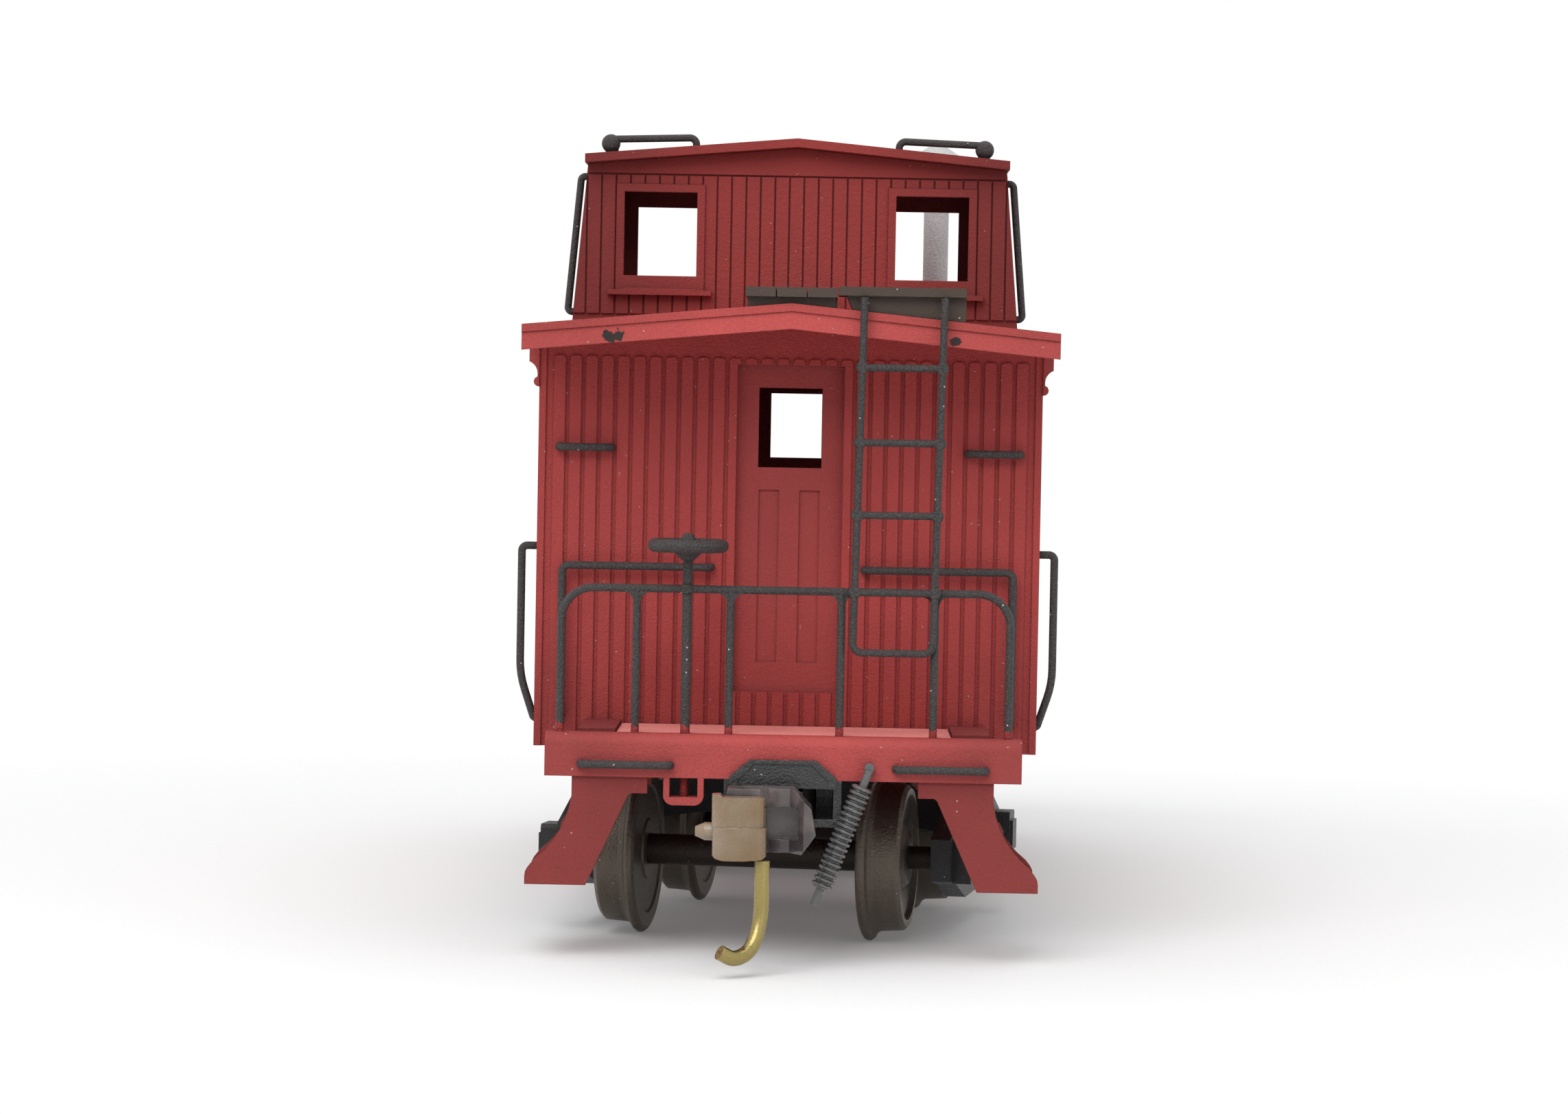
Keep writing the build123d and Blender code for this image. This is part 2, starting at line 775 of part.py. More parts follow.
def end_railing():
    """Bent hoop with four posts soldered under it, and an eye for the brake staff."""
    foot = beam_top - grab_foot
    hoop = wire([(-rail_half_width, -rail_y, foot), (-rail_half_width, -rail_y, rail_height),
                 (rail_half_width, -rail_y, rail_height), (rail_half_width, -rail_y, foot)],
                bend=rail_corner)
    for x in rail_feet()[:4]:
        hoop += post(x, -rail_y, foot, rail_height, wire_radius)
        web = [(x + side * reach, rail_height - drop) for side, rows in
               ((-1, solder_web), (1, solder_web[::-1])) for reach, drop in rows]
        hoop += across(web, -rail_y - solder_thickness / 2, -rail_y + solder_thickness / 2)
    hoop += post(staff_x, staff_y, rail_height - wire_radius, rail_height + wire_radius,
                 staff_radius + staff_eye)
    return hoop - post(staff_x, staff_y, rail_height - 1, rail_height + 1, staff_radius)


def ladder():
    """U-shaped stiles with rungs soldered across, leaning slightly to one side."""
    left, right = ladder_left, ladder_left + ladder_spacing
    top_shift = ladder_lean / 2
    path = [(left + top_shift, ladder_y, ladder_top), (left - top_shift, ladder_y, ladder_bottom),
            (right - top_shift, ladder_y, ladder_bottom), (right + top_shift, ladder_y, ladder_top)]
    frame = wire(path, bend=0.6, radius=ladder_radius)
    for height in ladder_rungs + (rail_height,):
        share = (height - ladder_bottom) / (ladder_top - ladder_bottom)
        shift = ladder_lean * (share - 0.5)
        start = (left + shift, ladder_y, height)
        end = (right + shift, ladder_y, height)
        frame += rod(start, end, ladder_radius)
        for x, _, z in (start, end):
            frame += Pos(x, ladder_y, z) * Sphere(ladder_radius * 1.75)
    keep = block(0, body_width, ladder_y - ladder_radius, ladder_y + ladder_radius,
                 0, smokejack_top)
    return frame & keep


def brake_staff():
    """Upright shaft from the stirrup to the brake wheel."""
    return post(staff_x, staff_y, beam_bottom - stirrup_drop + stirrup_foot,
                brake_wheel_height + 0.3, staff_radius)


def brake_wheel():
    """Horizontal hand wheel with a thick rim, spokes and a domed hub."""
    rim = Torus(brake_wheel_radius, brake_wheel_rim)
    hub = Cylinder(0.5, 0.8) + Pos(0, 0, 0.58) * Cone(0.5, 0.28, 0.36)
    hub += Pos(0, 0, -0.65) * Cone(staff_radius + 0.1, 0.95, 0.5)
    wheel = rim + hub
    for index in range(brake_wheel_spokes):
        angle = math.radians(45 + index * 360 / brake_wheel_spokes)
        end = (brake_wheel_radius * math.cos(angle), brake_wheel_radius * math.sin(angle), 0)
        wheel += rod((0, 0, 0.05), end, 0.22)
    wheel = Pos(staff_x, staff_y, brake_wheel_height) * wheel
    return wheel - brake_staff()


def staff_stirrup():
    """Strap flush with the end beam that carries the foot of the brake staff."""
    outer = RectangleRounded(stirrup_width, 2 * stirrup_drop, 0.6)
    inner = Rectangle(stirrup_width - 2 * stirrup_strap, 2 * (stirrup_drop - stirrup_foot))
    face = Plane.XZ.offset(beam_back) * Pos(staff_x, beam_bottom) * (outer - inner)
    strap = extrude(face, amount=beam_thickness, dir=(0, -1, 0))
    reach = stirrup_width / 2
    return strap & block(staff_x - reach, staff_x + reach, -beam_face, -beam_back,
                         beam_bottom - stirrup_drop, beam_bottom)


save("end_railings", *both_ends([end_railing()]))
save("ladders", *both_ends([ladder()]))
save("brake_staffs", *both_ends([brake_staff()]))
save("brake_wheels", *both_ends([brake_wheel()]))
save("brake_staff_stirrups", *both_ends([staff_stirrup()]))

# ---------------------------------------------------------------- grab irons


def upper_grab(side):
    """Short bar high on the end wall."""
    wall = -half_length + grab_foot
    out = -half_length - grab_standoff
    z = upper_grab_height
    x0, x1 = side * upper_grab_inner, side * upper_grab_outer
    return wire([(x0, wall, z), (x0, out, z), (x1, out, z), (x1, wall, z)])


def corner_grab(side):
    """Bar that runs out to the corner and then down to the platform."""
    wall = -half_length + grab_foot
    out = -half_length - grab_standoff
    x0, x1 = side * corner_grab_inner, side * corner_grab_outer
    top, low = corner_grab_height, corner_grab_foot
    return wire([(x0, wall, top), (x0, out, top), (x1, out, top), (x1, out, low), (x1, wall, low)])


def beam_grab(side):
    """Bar on the face of the end beam."""
    back = -beam_face + grab_foot
    out = -beam_face - beam_grab_standoff
    x0, x1 = side * beam_grab_inner, side * beam_grab_outer
    z = beam_grab_height
    return wire([(x0, back, z), (x0, out, z), (x1, out, z), (x1, back, z)], bend=0.3)


def side_grab(side):
    """Upright bar beside the steps, bowed back to the wall at its foot."""
    wall = side * (half_width - grab_foot)
    out = side * (half_width + side_grab_standoff)
    y = -half_length + side_grab_from_end
    return wire([(wall, y, side_grab_top), (out, y, side_grab_top), (out, y, side_grab_knee),
                 (side * (half_width + 0.1), y, side_grab_bottom), (wall, y, side_grab_bottom - 0.25)],
                bend=(0.35, 6.0, 0.12))


def roof_grab(side):
    """Corner bar on the cupola roof, with a knob where it turns."""
    y = -cupola_half - cupola_roof_overhang + roof_grab_setback
    corner, inner = side * roof_grab_corner, side * roof_grab_inner
    top, rear = roof_grab_height, -roof_grab_rear
    bar = wire([(inner, y, cupola_roof_at(inner)), (inner, y, top), (corner, y, top - 0.2),
                (corner, rear, top - 0.2), (corner, rear, cupola_roof_at(corner))])
    knob_base = cupola_roof_at(abs(corner) - 0.4)
    knob = post(corner, y, knob_base, top - 0.3, 0.4)
    return bar + knob + Pos(corner, y, top - 0.5) * Sphere(roof_grab_knob)


def cupola_handrail(side):
    """Rail down the slope of one cupola corner."""
    y = -cupola_inner + handrail_from_end
    top = cupola_half_width_at(handrail_top)
    low = cupola_half_width_at(handrail_bottom)
    foot = grab_foot - 0.1
    return wire([(side * (top - foot), y, handrail_top),
                 (side * (top + handrail_standoff), y, handrail_top),
                 (side * (low + handrail_standoff), y, handrail_bottom),
                 (side * (low - foot), y, handrail_bottom)], bend=0.3)


sides = (-1, 1)
save("end_and_beam_grab_irons", *both_ends([maker(side) for maker in (upper_grab, beam_grab)
                                            for side in sides]))
save("corner_grab_irons", *both_ends([corner_grab(side) for side in sides]))
save("side_grab_irons", *both_ends([side_grab(side) for side in sides]))
save("cupola_roof_grab_irons", *both_ends([roof_grab(side) for side in sides]))
save("cupola_handrails", *both_ends([cupola_handrail(side) for side in sides]))

# ---------------------------------------------------------------- roof walks and smokejack

walk_front = roof_length / 2 + walk_overhang
walk_back = cupola_half + walk_cupola_gap
walk_bottom = walk_top - walk_thickness


def walk_planks():
    """Three planks along one end of the roof."""
    plank = (walk_width - 2 * walk_gap) / 3
    planks = []
    for index in range(3):
        x = -walk_width / 2 + index * (plank + walk_gap)
        planks.append(block(x, x + plank, -walk_front, -walk_back, walk_bottom, walk_top))
    return planks


def walk_saddles():
    """Cleats that hold the planks level above the ridge."""
    half = walk_width / 2 - 0.1
    outline = [(-half, walk_bottom), (-half, roof_top_at(half)), (0, roof_top_at(0)),
               (half, roof_top_at(half)), (half, walk_bottom)]
    first = roof_length / 2 - 0.6
    last = walk_back + 0.9
    saddles = []
    for index in range(saddle_count):
        y = -first + (first - last) * index / (saddle_count - 1)
        saddles.append(across(outline, y - saddle_thickness / 2, y + saddle_thickness / 2))
    return saddles


def lateral_board():
    """Two short planks from the walk out to the ladder, on two brackets."""
    inner = walk_width / 2 + walk_gap
    front = ladder_y + ladder_radius
    plank = (lateral_depth - walk_gap) / 2
    bottom = lateral_top - lateral_thickness
    pieces = []
    for index in range(2):
        y = front + index * (plank + walk_gap)
        pieces.append(block(inner, lateral_outer, y, y + plank, bottom, lateral_top))
    start = -roof_length / 2 + 0.2
    outline = [(inner + 0.9, roof_top_at(inner + 0.9)), (inner + 0.5, bottom), (lateral_outer, bottom),
               (lateral_outer, roof_top_at(lateral_outer))]
    for y in (start, start + lateral_depth - 1.2):
        pieces.append(across(outline, y, y + lateral_bracket))
    return pieces


def smokejack():
    """Stove pipe with a flashing at its foot and a conical hood."""
    foot = roof_top_at(smokejack_x + 1.6)
    pipe = post(smokejack_x, smokejack_y, foot, smokejack_top - 1.0, smokejack_radius)
    flashing = Pos(smokejack_x, smokejack_y, foot + 0.55) * Cone(1.7, smokejack_radius, 1.1)
    band = post(smokejack_x, smokejack_y, smokejack_top - 3.2, smokejack_top - 2.9,
                smokejack_radius + 0.12)
    skirt = Pos(smokejack_x, smokejack_y, smokejack_top - 1.25) * Cone(
        smokejack_cap_radius - 0.25, smokejack_cap_radius, 0.5)
    hood = Pos(smokejack_x, smokejack_y, smokejack_top - 0.5) * Cone(
        smokejack_cap_radius, 0.25, 1.0)
    jack = pipe + flashing + band + skirt + hood
    half = roof_width / 2
    return jack - gable_strip(half, lambda x: 0, roof_top_at, smokejack_y - 3, smokejack_y + 3)


save("roof_walk_planks", *both_ends(walk_planks()))
save("roof_walk_saddles", *both_ends(walk_saddles()))
save("lateral_running_boards", *both_ends(lateral_board()))
save("smokejack", smokejack())

# ---------------------------------------------------------------- air hose


def air_hose():
    """Ribbed hose hanging from a thin pipe, with a thin tail at its coupling end."""
    start = Vector(hose_top[0], -beam_face - hose_front, hose_top[1])
    end = Vector(hose_tip[0], -beam_face - hose_front - hose_tip_reach, hose_tip[1])
    length = (end - start).length
    first = length * hose_pipe_share
    last = length * (1 - hose_tail_share)
    pitch = (last - first) / hose_ribs
    points = [(0, 0), (hose_pipe_radius, 0), (hose_pipe_radius, first), (hose_radius, first)]
    for index in range(hose_ribs):
        low = first + index * pitch
        points += [(hose_rib_radius, low + pitch * 0.2), (hose_rib_radius, low + pitch * 0.6),
                   (hose_radius, low + pitch * 0.8), (hose_radius, low + pitch)]
    points += [(hose_pipe_radius, last + 0.05), (hose_pipe_radius, length), (0, length)]
    profile = Plane.XZ * make_face(Polyline(*points, close=True).edges())
    hose = Plane(origin=start, z_dir=end - start) * revolve(profile, axis=Axis.Z)
    peg = rod((hose_top[0], -beam_face, hose_top[1] + 0.15),
              (start.X, start.Y - 0.1, hose_top[1] + 0.15), hose_pipe_radius + 0.04)
    return hose + peg


save("air_hoses", *both_ends([air_hose()]))

# ---------------------------------------------------------------- trucks


def wheel(side):
    """Flanged wheel with a raised hub and rim, bored for its journal."""
    back = wheel_back_gap / 2
    face = back + wheel_width
    flange, tread = wheel_flange_radius, wheel_tread_radius
    rim = tread - 0.75
    outline = [(back, journal_radius), (back, 1.9), (back + 0.12, 2.0), (back + 0.12, rim),
               (back, rim + 0.15), (back, flange - 0.35), (back + 0.14, flange - 0.1),
               (back + 0.3, flange), (back + 0.45, flange), (back + 0.62, flange - 0.12),
               (back + flange_width, flange - 0.4), (back + flange_width + 0.25, tread + 0.05),
               (back + flange_width + 0.4, tread), (face - 0.25, tread - tread_taper),
               (face, tread - tread_taper - 0.25), (face, rim), (face - 0.35, rim - 0.2),
               (face - 0.45, 2.1), (face - 0.1, 1.75), (face, 1.6), (face, journal_radius)]
    profile = Plane.XZ * make_face(Polyline(*[(side * x, r) for x, r in outline], close=True).edges())
    return revolve(profile, axis=Axis.X)


def axle():
    """Pin-point axle, stepped down inside the wheels."""
    back = wheel_back_gap / 2
    half = [(back, axle_radius), (back, journal_radius), (axle_cone_start, journal_radius),
            (axle_tip, 0.08)]
    outline = [(-axle_tip, 0)] + [(-x, r) for x, r in reversed(half)] + half + [(axle_tip, 0)]
    profile = Plane.XZ * make_face(Polyline(*outline, close=True).edges())
    return revolve(profile, axis=Axis.X)


def side_frame(side):
    """Cast side frame with journal boxes, moulded springs and pin-point bearings."""
    half, centre = wheelbase / 2, axle_height
    x0, x1 = sorted((side * frame_inner, side * (frame_inner + frame_thickness)))
    upper = [(half + 2.4, centre + 1.45), (half + 0.9, centre + 1.95), (half - 4.6, centre + 3.8)]
    lower = [(half - 5.4, centre - 3.0), (half - 0.8, centre - 1.75), (half + 2.4, centre - 1.25)]
    right = lower + upper
    outline = right + [(-y, z) for y, z in reversed(right)]
    frame = along(outline, x0, x1)
    for end in (-1, 1):
        window = [(end * (half - 1.9), centre + 0.05), (end * (half - 5.3), centre + 2.45),
                  (end * (half - 6.2), centre + 2.45), (end * (half - 6.2), centre - 1.7),
                  (end * (half - 5.3), centre - 1.7)]
        frame -= along(window, x0 - 1, x1 + 1)
    frame -= block(x0 - 1, x1 + 1, -2.3, 2.3, centre - 2.15, bolster_end_top)
    near, far = sorted((side * (frame_inner + frame_thickness),
                        side * (frame_inner + frame_thickness + journal_box_depth)))
    for end in (-1, 1):
        y = end * half
        box = block(near, far, y - 1.35, y + 1.35, axle_height - 1.5, axle_height + 1.5)
        lid = sorted((far if side > 0 else near, (far if side > 0 else near) + side * 0.2))
        frame += fillet(box.edges().filter_by(Axis.X), 0.3)
        frame += block(lid[0], lid[1], y - 1.0, y + 1.0, axle_height - 1.1, axle_height + 0.9)
        bearing = [(side * (frame_inner - 0.1), journal_radius + bearing_clearance),
                   (side * (axle_cone_start + 0.1), journal_radius + bearing_clearance),
                   (side * (axle_tip + 0.15), 0.16), (side * (axle_tip + 0.15), 0),
                   (side * (frame_inner - 0.1), 0)]
        cone = revolve(Plane.XZ * make_face(Polyline(*bearing, close=True).edges()), axis=Axis.X)
        frame -= Pos(0, y, axle_height) * cone
    middle = side * (frame_inner + frame_thickness / 2)
    for y in (-1.15, 1.15):
        frame += post(middle, y, centre - 2.15, bolster_end_bottom, 0.55)
        for turn in range(5):
            frame += Pos(middle, y, centre - 1.8 + turn * 0.55) * Cylinder(0.85, 0.28)
    return frame


def truck_bolster():
    """Cross member between the side frames, with its centre pad and bolster ends."""
    half = truck_bolster_width / 2
    outline = [(-frame_inner, bolster_end_bottom), (-frame_inner, bolster_end_top),
               (-4.5, truck_pad_top - 0.4), (4.5, truck_pad_top - 0.4),
               (frame_inner, bolster_end_top), (frame_inner, bolster_end_bottom),
               (5.5, truck_bolster_bottom), (-5.5, truck_bolster_bottom)]
    bolster = across(outline, -half, half)
    bolster += post(0, 0, truck_bolster_bottom, truck_pad_top, centre_plate_radius)
    for side in (-1, 1):
        low, high = sorted((side * frame_inner, side * (frame_inner + frame_thickness + 0.15)))
        bolster += block(low, high, -half, half, bolster_end_bottom, bolster_end_top - seat_gap)
    return bolster - post(0, 0, 0, truck_pad_top + 1, kingpin_radius + kingpin_clearance)


def truck(end, turn):
    """Save one truck's pieces, turned about its kingpin."""
    place = Pos(0, -kingpin_y, 0) * Rot(0, 0, turn)
    if end == "rear":
        place = Rot(0, 0, 180) * place
    save(f"{end}_truck_side_frames", place * side_frame(-1), place * side_frame(1))
    save(f"{end}_truck_bolster", place * truck_bolster())
    for name, y in (("outer", -wheelbase / 2), ("inner", wheelbase / 2)):
        spot = place * Pos(0, y, axle_height)
        save(f"{end}_{name}_axle", spot * axle())
        save(f"{end}_{name}_wheels", spot * wheel(-1), spot * wheel(1))


truck("front", front_truck_turn)
truck("rear", 0)

# ---------------------------------------------------------------- couplers

pivot_y = -beam_face + pivot_from_beam


def coupler_box():
    """Draft box under the end beam: housing with its striker, and a lid below."""
    inner = box_half_width - box_wall
    back = -beam_face + box_length
    floor = box_bottom + box_wall
    housing = block(-box_half_width, box_half_width, -beam_face, back, floor, box_top)
    housing -= block(-inner, inner, -beam_face - 1, back - box_wall, floor, box_top - box_wall)
    housing += post(0, pivot_y, floor, box_top - box_wall, pivot_radius)
    face = [(-striker_half, box_top - box_wall), (-striker_half, box_top + 0.2),
            (-striker_top_half, striker_top), (striker_top_half, striker_top),
            (striker_half, box_top + 0.2), (striker_half, box_top - box_wall)]
    housing += across(face, -beam_face - striker_thickness, -beam_face)
    sunk = [(x * 0.86, box_top - box_wall - 1 if z < box_top else z - striker_rim) for x, z in face]
    housing -= across(sunk, -beam_face - striker_thickness - 1, -beam_face - striker_thickness + 0.14)
    housing -= post(0, pivot_y, floor, box_top - box_wall - 0.3, 0.5)
    lid = block(-box_half_width, box_half_width, -beam_face, back, box_bottom, floor)
    lid -= post(0, pivot_y, box_bottom, floor, 0.5)
    screw = post(0, pivot_y, box_bottom, box_top - box_wall - 0.3, 0.5)
    screw += post(0, pivot_y, box_bottom - 0.4, box_bottom, 0.95)
    return [housing, lid, screw]


def coupler():
    """Shank with its pivot eye, and a head whose guard arm stands beside the knuckle."""
    eye = post(0, pivot_y, shank_bottom, shank_top, 2.1)
    head_back = -beam_face - head_back_y
    head_front = -beam_face - head_front_y
    tip = -beam_face - guard_reach
    shank = block(-shank_half_width, shank_half_width, head_back, pivot_y,
                  shank_bottom, shank_top)
    plan = [(-shank_half_width - 0.4, head_back), (head_left, head_back - 0.9),
            (head_left, head_front - 0.9), (knuckle_right - 0.3, head_front - 0.9),
            (knuckle_right + 0.2, head_front), (0.5, head_front - 0.2),
            (head_right - 0.75, tip + 0.2), (head_right - 0.3, tip), (head_right, tip + 0.35),
            (head_right, head_back - 0.6), (head_right - 0.7, head_back)]
    head = upright(plan, head_bottom, head_top)
    chamfer = [(head_left, head_top), (0.75, head_top), (1.8, 10.1), (head_right, 8.5),
               (1.25, head_bottom), (head_left + 0.9, head_bottom), (head_left, head_bottom + 0.7)]
    head &= across(chamfer, tip - 1, head_back + 1)
    slot_back = -beam_face - head_back_y - 1.0
    head -= block(head_left - 1, guard_hollow, tip - 1, slot_back,
                  knuckle_slot_bottom, knuckle_slot_top)
    pin_y = -beam_face - knuckle_pin_y
    head += post(knuckle_pin_x, pin_y, knuckle_slot_bottom, knuckle_slot_top, knuckle_pin_radius)
    body = eye + shank + head
    return body - post(0, pivot_y, shank_bottom - 1, shank_top + 1, pivot_radius + pivot_clearance)


def barrel_outline():
    """Front outline of the knuckle's block, with a bowed lower edge and a low ear on top."""
    left, right = knuckle_left, knuckle_right + 0.12
    return [(left, knuckle_bottom + 0.35), (left + 0.25, knuckle_bottom + 0.12),
            (left + 0.7, knuckle_bottom), (right - 1.3, knuckle_bottom),
            (right - 0.25, knuckle_bottom + 0.1), (right, knuckle_bottom + 0.3),
            (right, knuckle_top - 0.3), (right - 0.3, knuckle_top - 0.18),
            (left + 0.7, knuckle_top - 0.18), (left + 0.5, knuckle_top),
            (left, knuckle_top)]


def knuckle():
    """Swinging knuckle: an arm in the head's slot and a block across the front."""
    pin_y = -beam_face - knuckle_pin_y
    back, front = -beam_face - knuckle_back_y, -beam_face - knuckle_front_y
    low = knuckle_slot_bottom + knuckle_clearance
    high = knuckle_slot_top - knuckle_clearance
    arm = post(knuckle_pin_x, pin_y, low, high, 1.05)
    arm += block(knuckle_left + 0.9, knuckle_pin_x + 0.95, back, pin_y, low, high)
    arm -= post(knuckle_pin_x, pin_y, low, high, knuckle_pin_radius + knuckle_clearance)
    middle = (knuckle_bottom + knuckle_top) / 2
    upper = block(knuckle_left, knuckle_right, front, back, middle, knuckle_top)
    upper = fillet(upper.edges().filter_by(Axis.Z), 0.5)
    lower = block(knuckle_left + 0.05, knuckle_right + 0.12, front - 0.08, back,
                  knuckle_bottom, middle)
    lower = fillet(lower.edges().filter_by(Axis.Z), 0.5)
    face = (upper + lower) & across(barrel_outline(), front - 1, back + 1)
    nib_z = (knuckle_slot_bottom + knuckle_slot_top) / 2 - 0.4
    nib = rod((knuckle_left + 0.3, back - 0.6, nib_z), (knuckle_left - 0.45, back - 0.55, nib_z), 0.55)
    nib += Plane(origin=(knuckle_left - 0.4, back - 0.55, nib_z), z_dir=(-1, 0, 0)) * Cone(
        0.55, 0.3, 0.6, align=(Align.CENTER, Align.CENTER, Align.MIN))
    return arm + face + nib


def trip_pin():
    """Wire pressed up into the knuckle, curling aside and forward above the track."""
    y = -beam_face - (knuckle_front_y + knuckle_back_y) / 2
    low = trip_pin_low
    straight = [(trip_pin_x, y, knuckle_bottom + 0.5), (trip_pin_x, y, low + 3.1)]
    curl = [straight[1], (trip_pin_x - 0.2, y - 0.25, low + 1.5),
            (trip_pin_x - 0.85, y - 0.95, low + 0.25), (trip_pin_x - 1.65, y - 1.6, low),
            (trip_pin_tip, y - 2.05, low + 0.4)]
    path = Line(*straight) + Spline(*curl, tangents=[(0, 0, -1), (-1, -0.45, 0.6)])
    section = Plane(origin=straight[0], z_dir=(0, 0, -1)) * Circle(trip_pin_radius)
    pin = sweep(section, path=path)
    return pin & block(-10, 10, y - 5, y + 5, 0, knuckle_bottom)


for end, move in (("front", Pos(0, 0, 0)), ("rear", Rot(0, 0, 180))):
    save(f"coupler_{end}", move * coupler())
    save(f"knuckle_{end}", move * knuckle())
    save(f"trip_pin_{end}", move * trip_pin())
save("coupler_boxes", *both_ends(coupler_box()))
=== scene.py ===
import math

import bmesh
import bpy
from mathutils import Matrix, Vector


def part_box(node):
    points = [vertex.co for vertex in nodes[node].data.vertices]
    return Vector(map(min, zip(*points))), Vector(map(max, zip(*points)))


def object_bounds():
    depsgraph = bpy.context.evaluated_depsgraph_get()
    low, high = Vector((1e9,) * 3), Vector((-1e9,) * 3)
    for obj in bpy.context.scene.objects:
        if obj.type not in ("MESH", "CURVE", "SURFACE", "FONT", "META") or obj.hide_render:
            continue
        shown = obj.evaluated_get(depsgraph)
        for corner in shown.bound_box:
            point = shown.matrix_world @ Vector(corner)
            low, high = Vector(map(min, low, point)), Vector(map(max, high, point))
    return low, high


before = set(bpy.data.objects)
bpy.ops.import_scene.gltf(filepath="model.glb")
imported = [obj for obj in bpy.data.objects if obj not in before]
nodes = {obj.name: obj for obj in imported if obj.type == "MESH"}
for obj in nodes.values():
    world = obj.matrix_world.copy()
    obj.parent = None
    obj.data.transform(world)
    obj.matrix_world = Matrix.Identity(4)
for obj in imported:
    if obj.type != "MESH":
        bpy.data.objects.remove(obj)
cad_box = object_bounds()

# ------------------------------------------------------------------ table top and studio
# The car stands on a sheet of matt white card that runs out of sight behind it.
# A broad soft lamp hangs above and a little in front, with weaker ones at the sides.

MM = 0.001
scene = bpy.context.scene
scene.view_settings.view_transform = 'Standard'


def new_material(name):
    """An empty node material with its output node."""
    material = bpy.data.materials.new(name)
    material.use_nodes = True
    material.node_tree.nodes.clear()
    output = material.node_tree.nodes.new("ShaderNodeOutputMaterial")
    return material, material.node_tree, output


def card_material(fade_start, fade_end):
    """White card that grows transparent far away, so that no horizon shows, and from below."""
    material, tree, output = new_material("white_card")
    add, link = tree.nodes.new, tree.links.new
    place = add("ShaderNodeNewGeometry")
    length = add("ShaderNodeVectorMath")
    length.operation = 'LENGTH'
    link(place.outputs["Position"], length.inputs[0])
    fade = add("ShaderNodeMapRange")
    fade.inputs["From Min"].default_value = fade_start
    fade.inputs["From Max"].default_value = fade_end
    link(length.outputs["Value"], fade.inputs["Value"])
    fibre = add("ShaderNodeTexNoise")
    fibre.inputs["Scale"].default_value = 2500.0
    fibre.inputs["Detail"].default_value = 5.0
    link(place.outputs["Position"], fibre.inputs["Vector"])
    tint = add("ShaderNodeValToRGB")
    tint.color_ramp.elements[0].color = (0.79, 0.80, 0.80, 1)
    tint.color_ramp.elements[1].color = (0.89, 0.90, 0.90, 1)
    link(fibre.outputs["Fac"], tint.inputs["Fac"])
    bump = add("ShaderNodeBump")
    bump.inputs["Strength"].default_value = 0.2
    bump.inputs["Distance"].default_value = 0.00005
    link(fibre.outputs["Fac"], bump.inputs["Height"])
    card = add("ShaderNodeBsdfPrincipled")
    card.inputs["Roughness"].default_value = 0.85
    card.inputs["Emission Color"].default_value = (1, 1, 1, 1)
    card.inputs["Emission Strength"].default_value = 0.095
    link(tint.outputs["Color"], card.inputs["Base Color"])
    link(bump.outputs["Normal"], card.inputs["Normal"])
    clear = add("ShaderNodeBsdfTransparent")
    mix = add("ShaderNodeMixShader")
    hidden = add("ShaderNodeMath")
    hidden.operation = 'MAXIMUM'
    link(fade.outputs["Result"], hidden.inputs[0])
    link(place.outputs["Backfacing"], hidden.inputs[1])
    link(hidden.outputs["Value"], mix.inputs["Fac"])
    link(card.outputs["BSDF"], mix.inputs[1])
    link(clear.outputs["BSDF"], mix.inputs[2])
    link(mix.outputs["Shader"], output.inputs["Surface"])
    return material


def white_world(fill):
    """Plain white behind everything, and an even grey fill as light."""
    world = bpy.data.worlds.new("white_room")
    world.use_nodes = True
    tree = world.node_tree
    tree.nodes.clear()
    add, link = tree.nodes.new, tree.links.new
    seen = add("ShaderNodeLightPath")
    first = add("ShaderNodeMath")
    first.operation = 'MAXIMUM'
    second = add("ShaderNodeMath")
    second.operation = 'MAXIMUM'
    link(seen.outputs["Is Camera Ray"], first.inputs[0])
    link(seen.outputs["Is Glossy Ray"], first.inputs[1])
    link(first.outputs["Value"], second.inputs[0])
    link(seen.outputs["Is Transmission Ray"], second.inputs[1])
    shown, light = add("ShaderNodeBackground"), add("ShaderNodeBackground")
    shown.inputs["Color"].default_value = (1, 1, 1, 1)
    light.inputs["Color"].default_value = (1, 1, 1, 1)
    light.inputs["Strength"].default_value = fill
    mix = add("ShaderNodeMixShader")
    link(second.outputs["Value"], mix.inputs["Fac"])
    link(light.outputs["Background"], mix.inputs[1])
    link(shown.outputs["Background"], mix.inputs[2])
    output = add("ShaderNodeOutputWorld")
    link(mix.outputs["Shader"], output.inputs["Surface"])
    scene.world = world


def soft_lamp(name, place, size, power, target):
    """Square area lamp turned towards a point."""
    lamp = bpy.data.lights.new(name, 'AREA')
    lamp.size = size
    lamp.energy = power
    holder = bpy.data.objects.new(name, lamp)
    holder.location = place
    holder.rotation_euler = (Vector(target) - Vector(place)).to_track_quat('-Z', 'Y').to_euler()
    scene.collection.objects.link(holder)


def mesh_object(name, make):
    """A mesh object filled by a function that works on a bmesh."""
    shape = bmesh.new()
    make(shape)
    mesh = bpy.data.meshes.new(name)
    shape.to_mesh(mesh)
    shape.free()
    piece = bpy.data.objects.new(name, mesh)
    scene.collection.objects.link(piece)
    return piece


card = mesh_object("table_card", lambda shape: bmesh.ops.create_grid(
    shape, x_segments=8, y_segments=8, size=2.0))
card.location.z = cad_box[0][2]
card_fades_from, card_ends_at = 0.072, 0.125
card.data.materials.append(card_material(card_fades_from, card_ends_at))

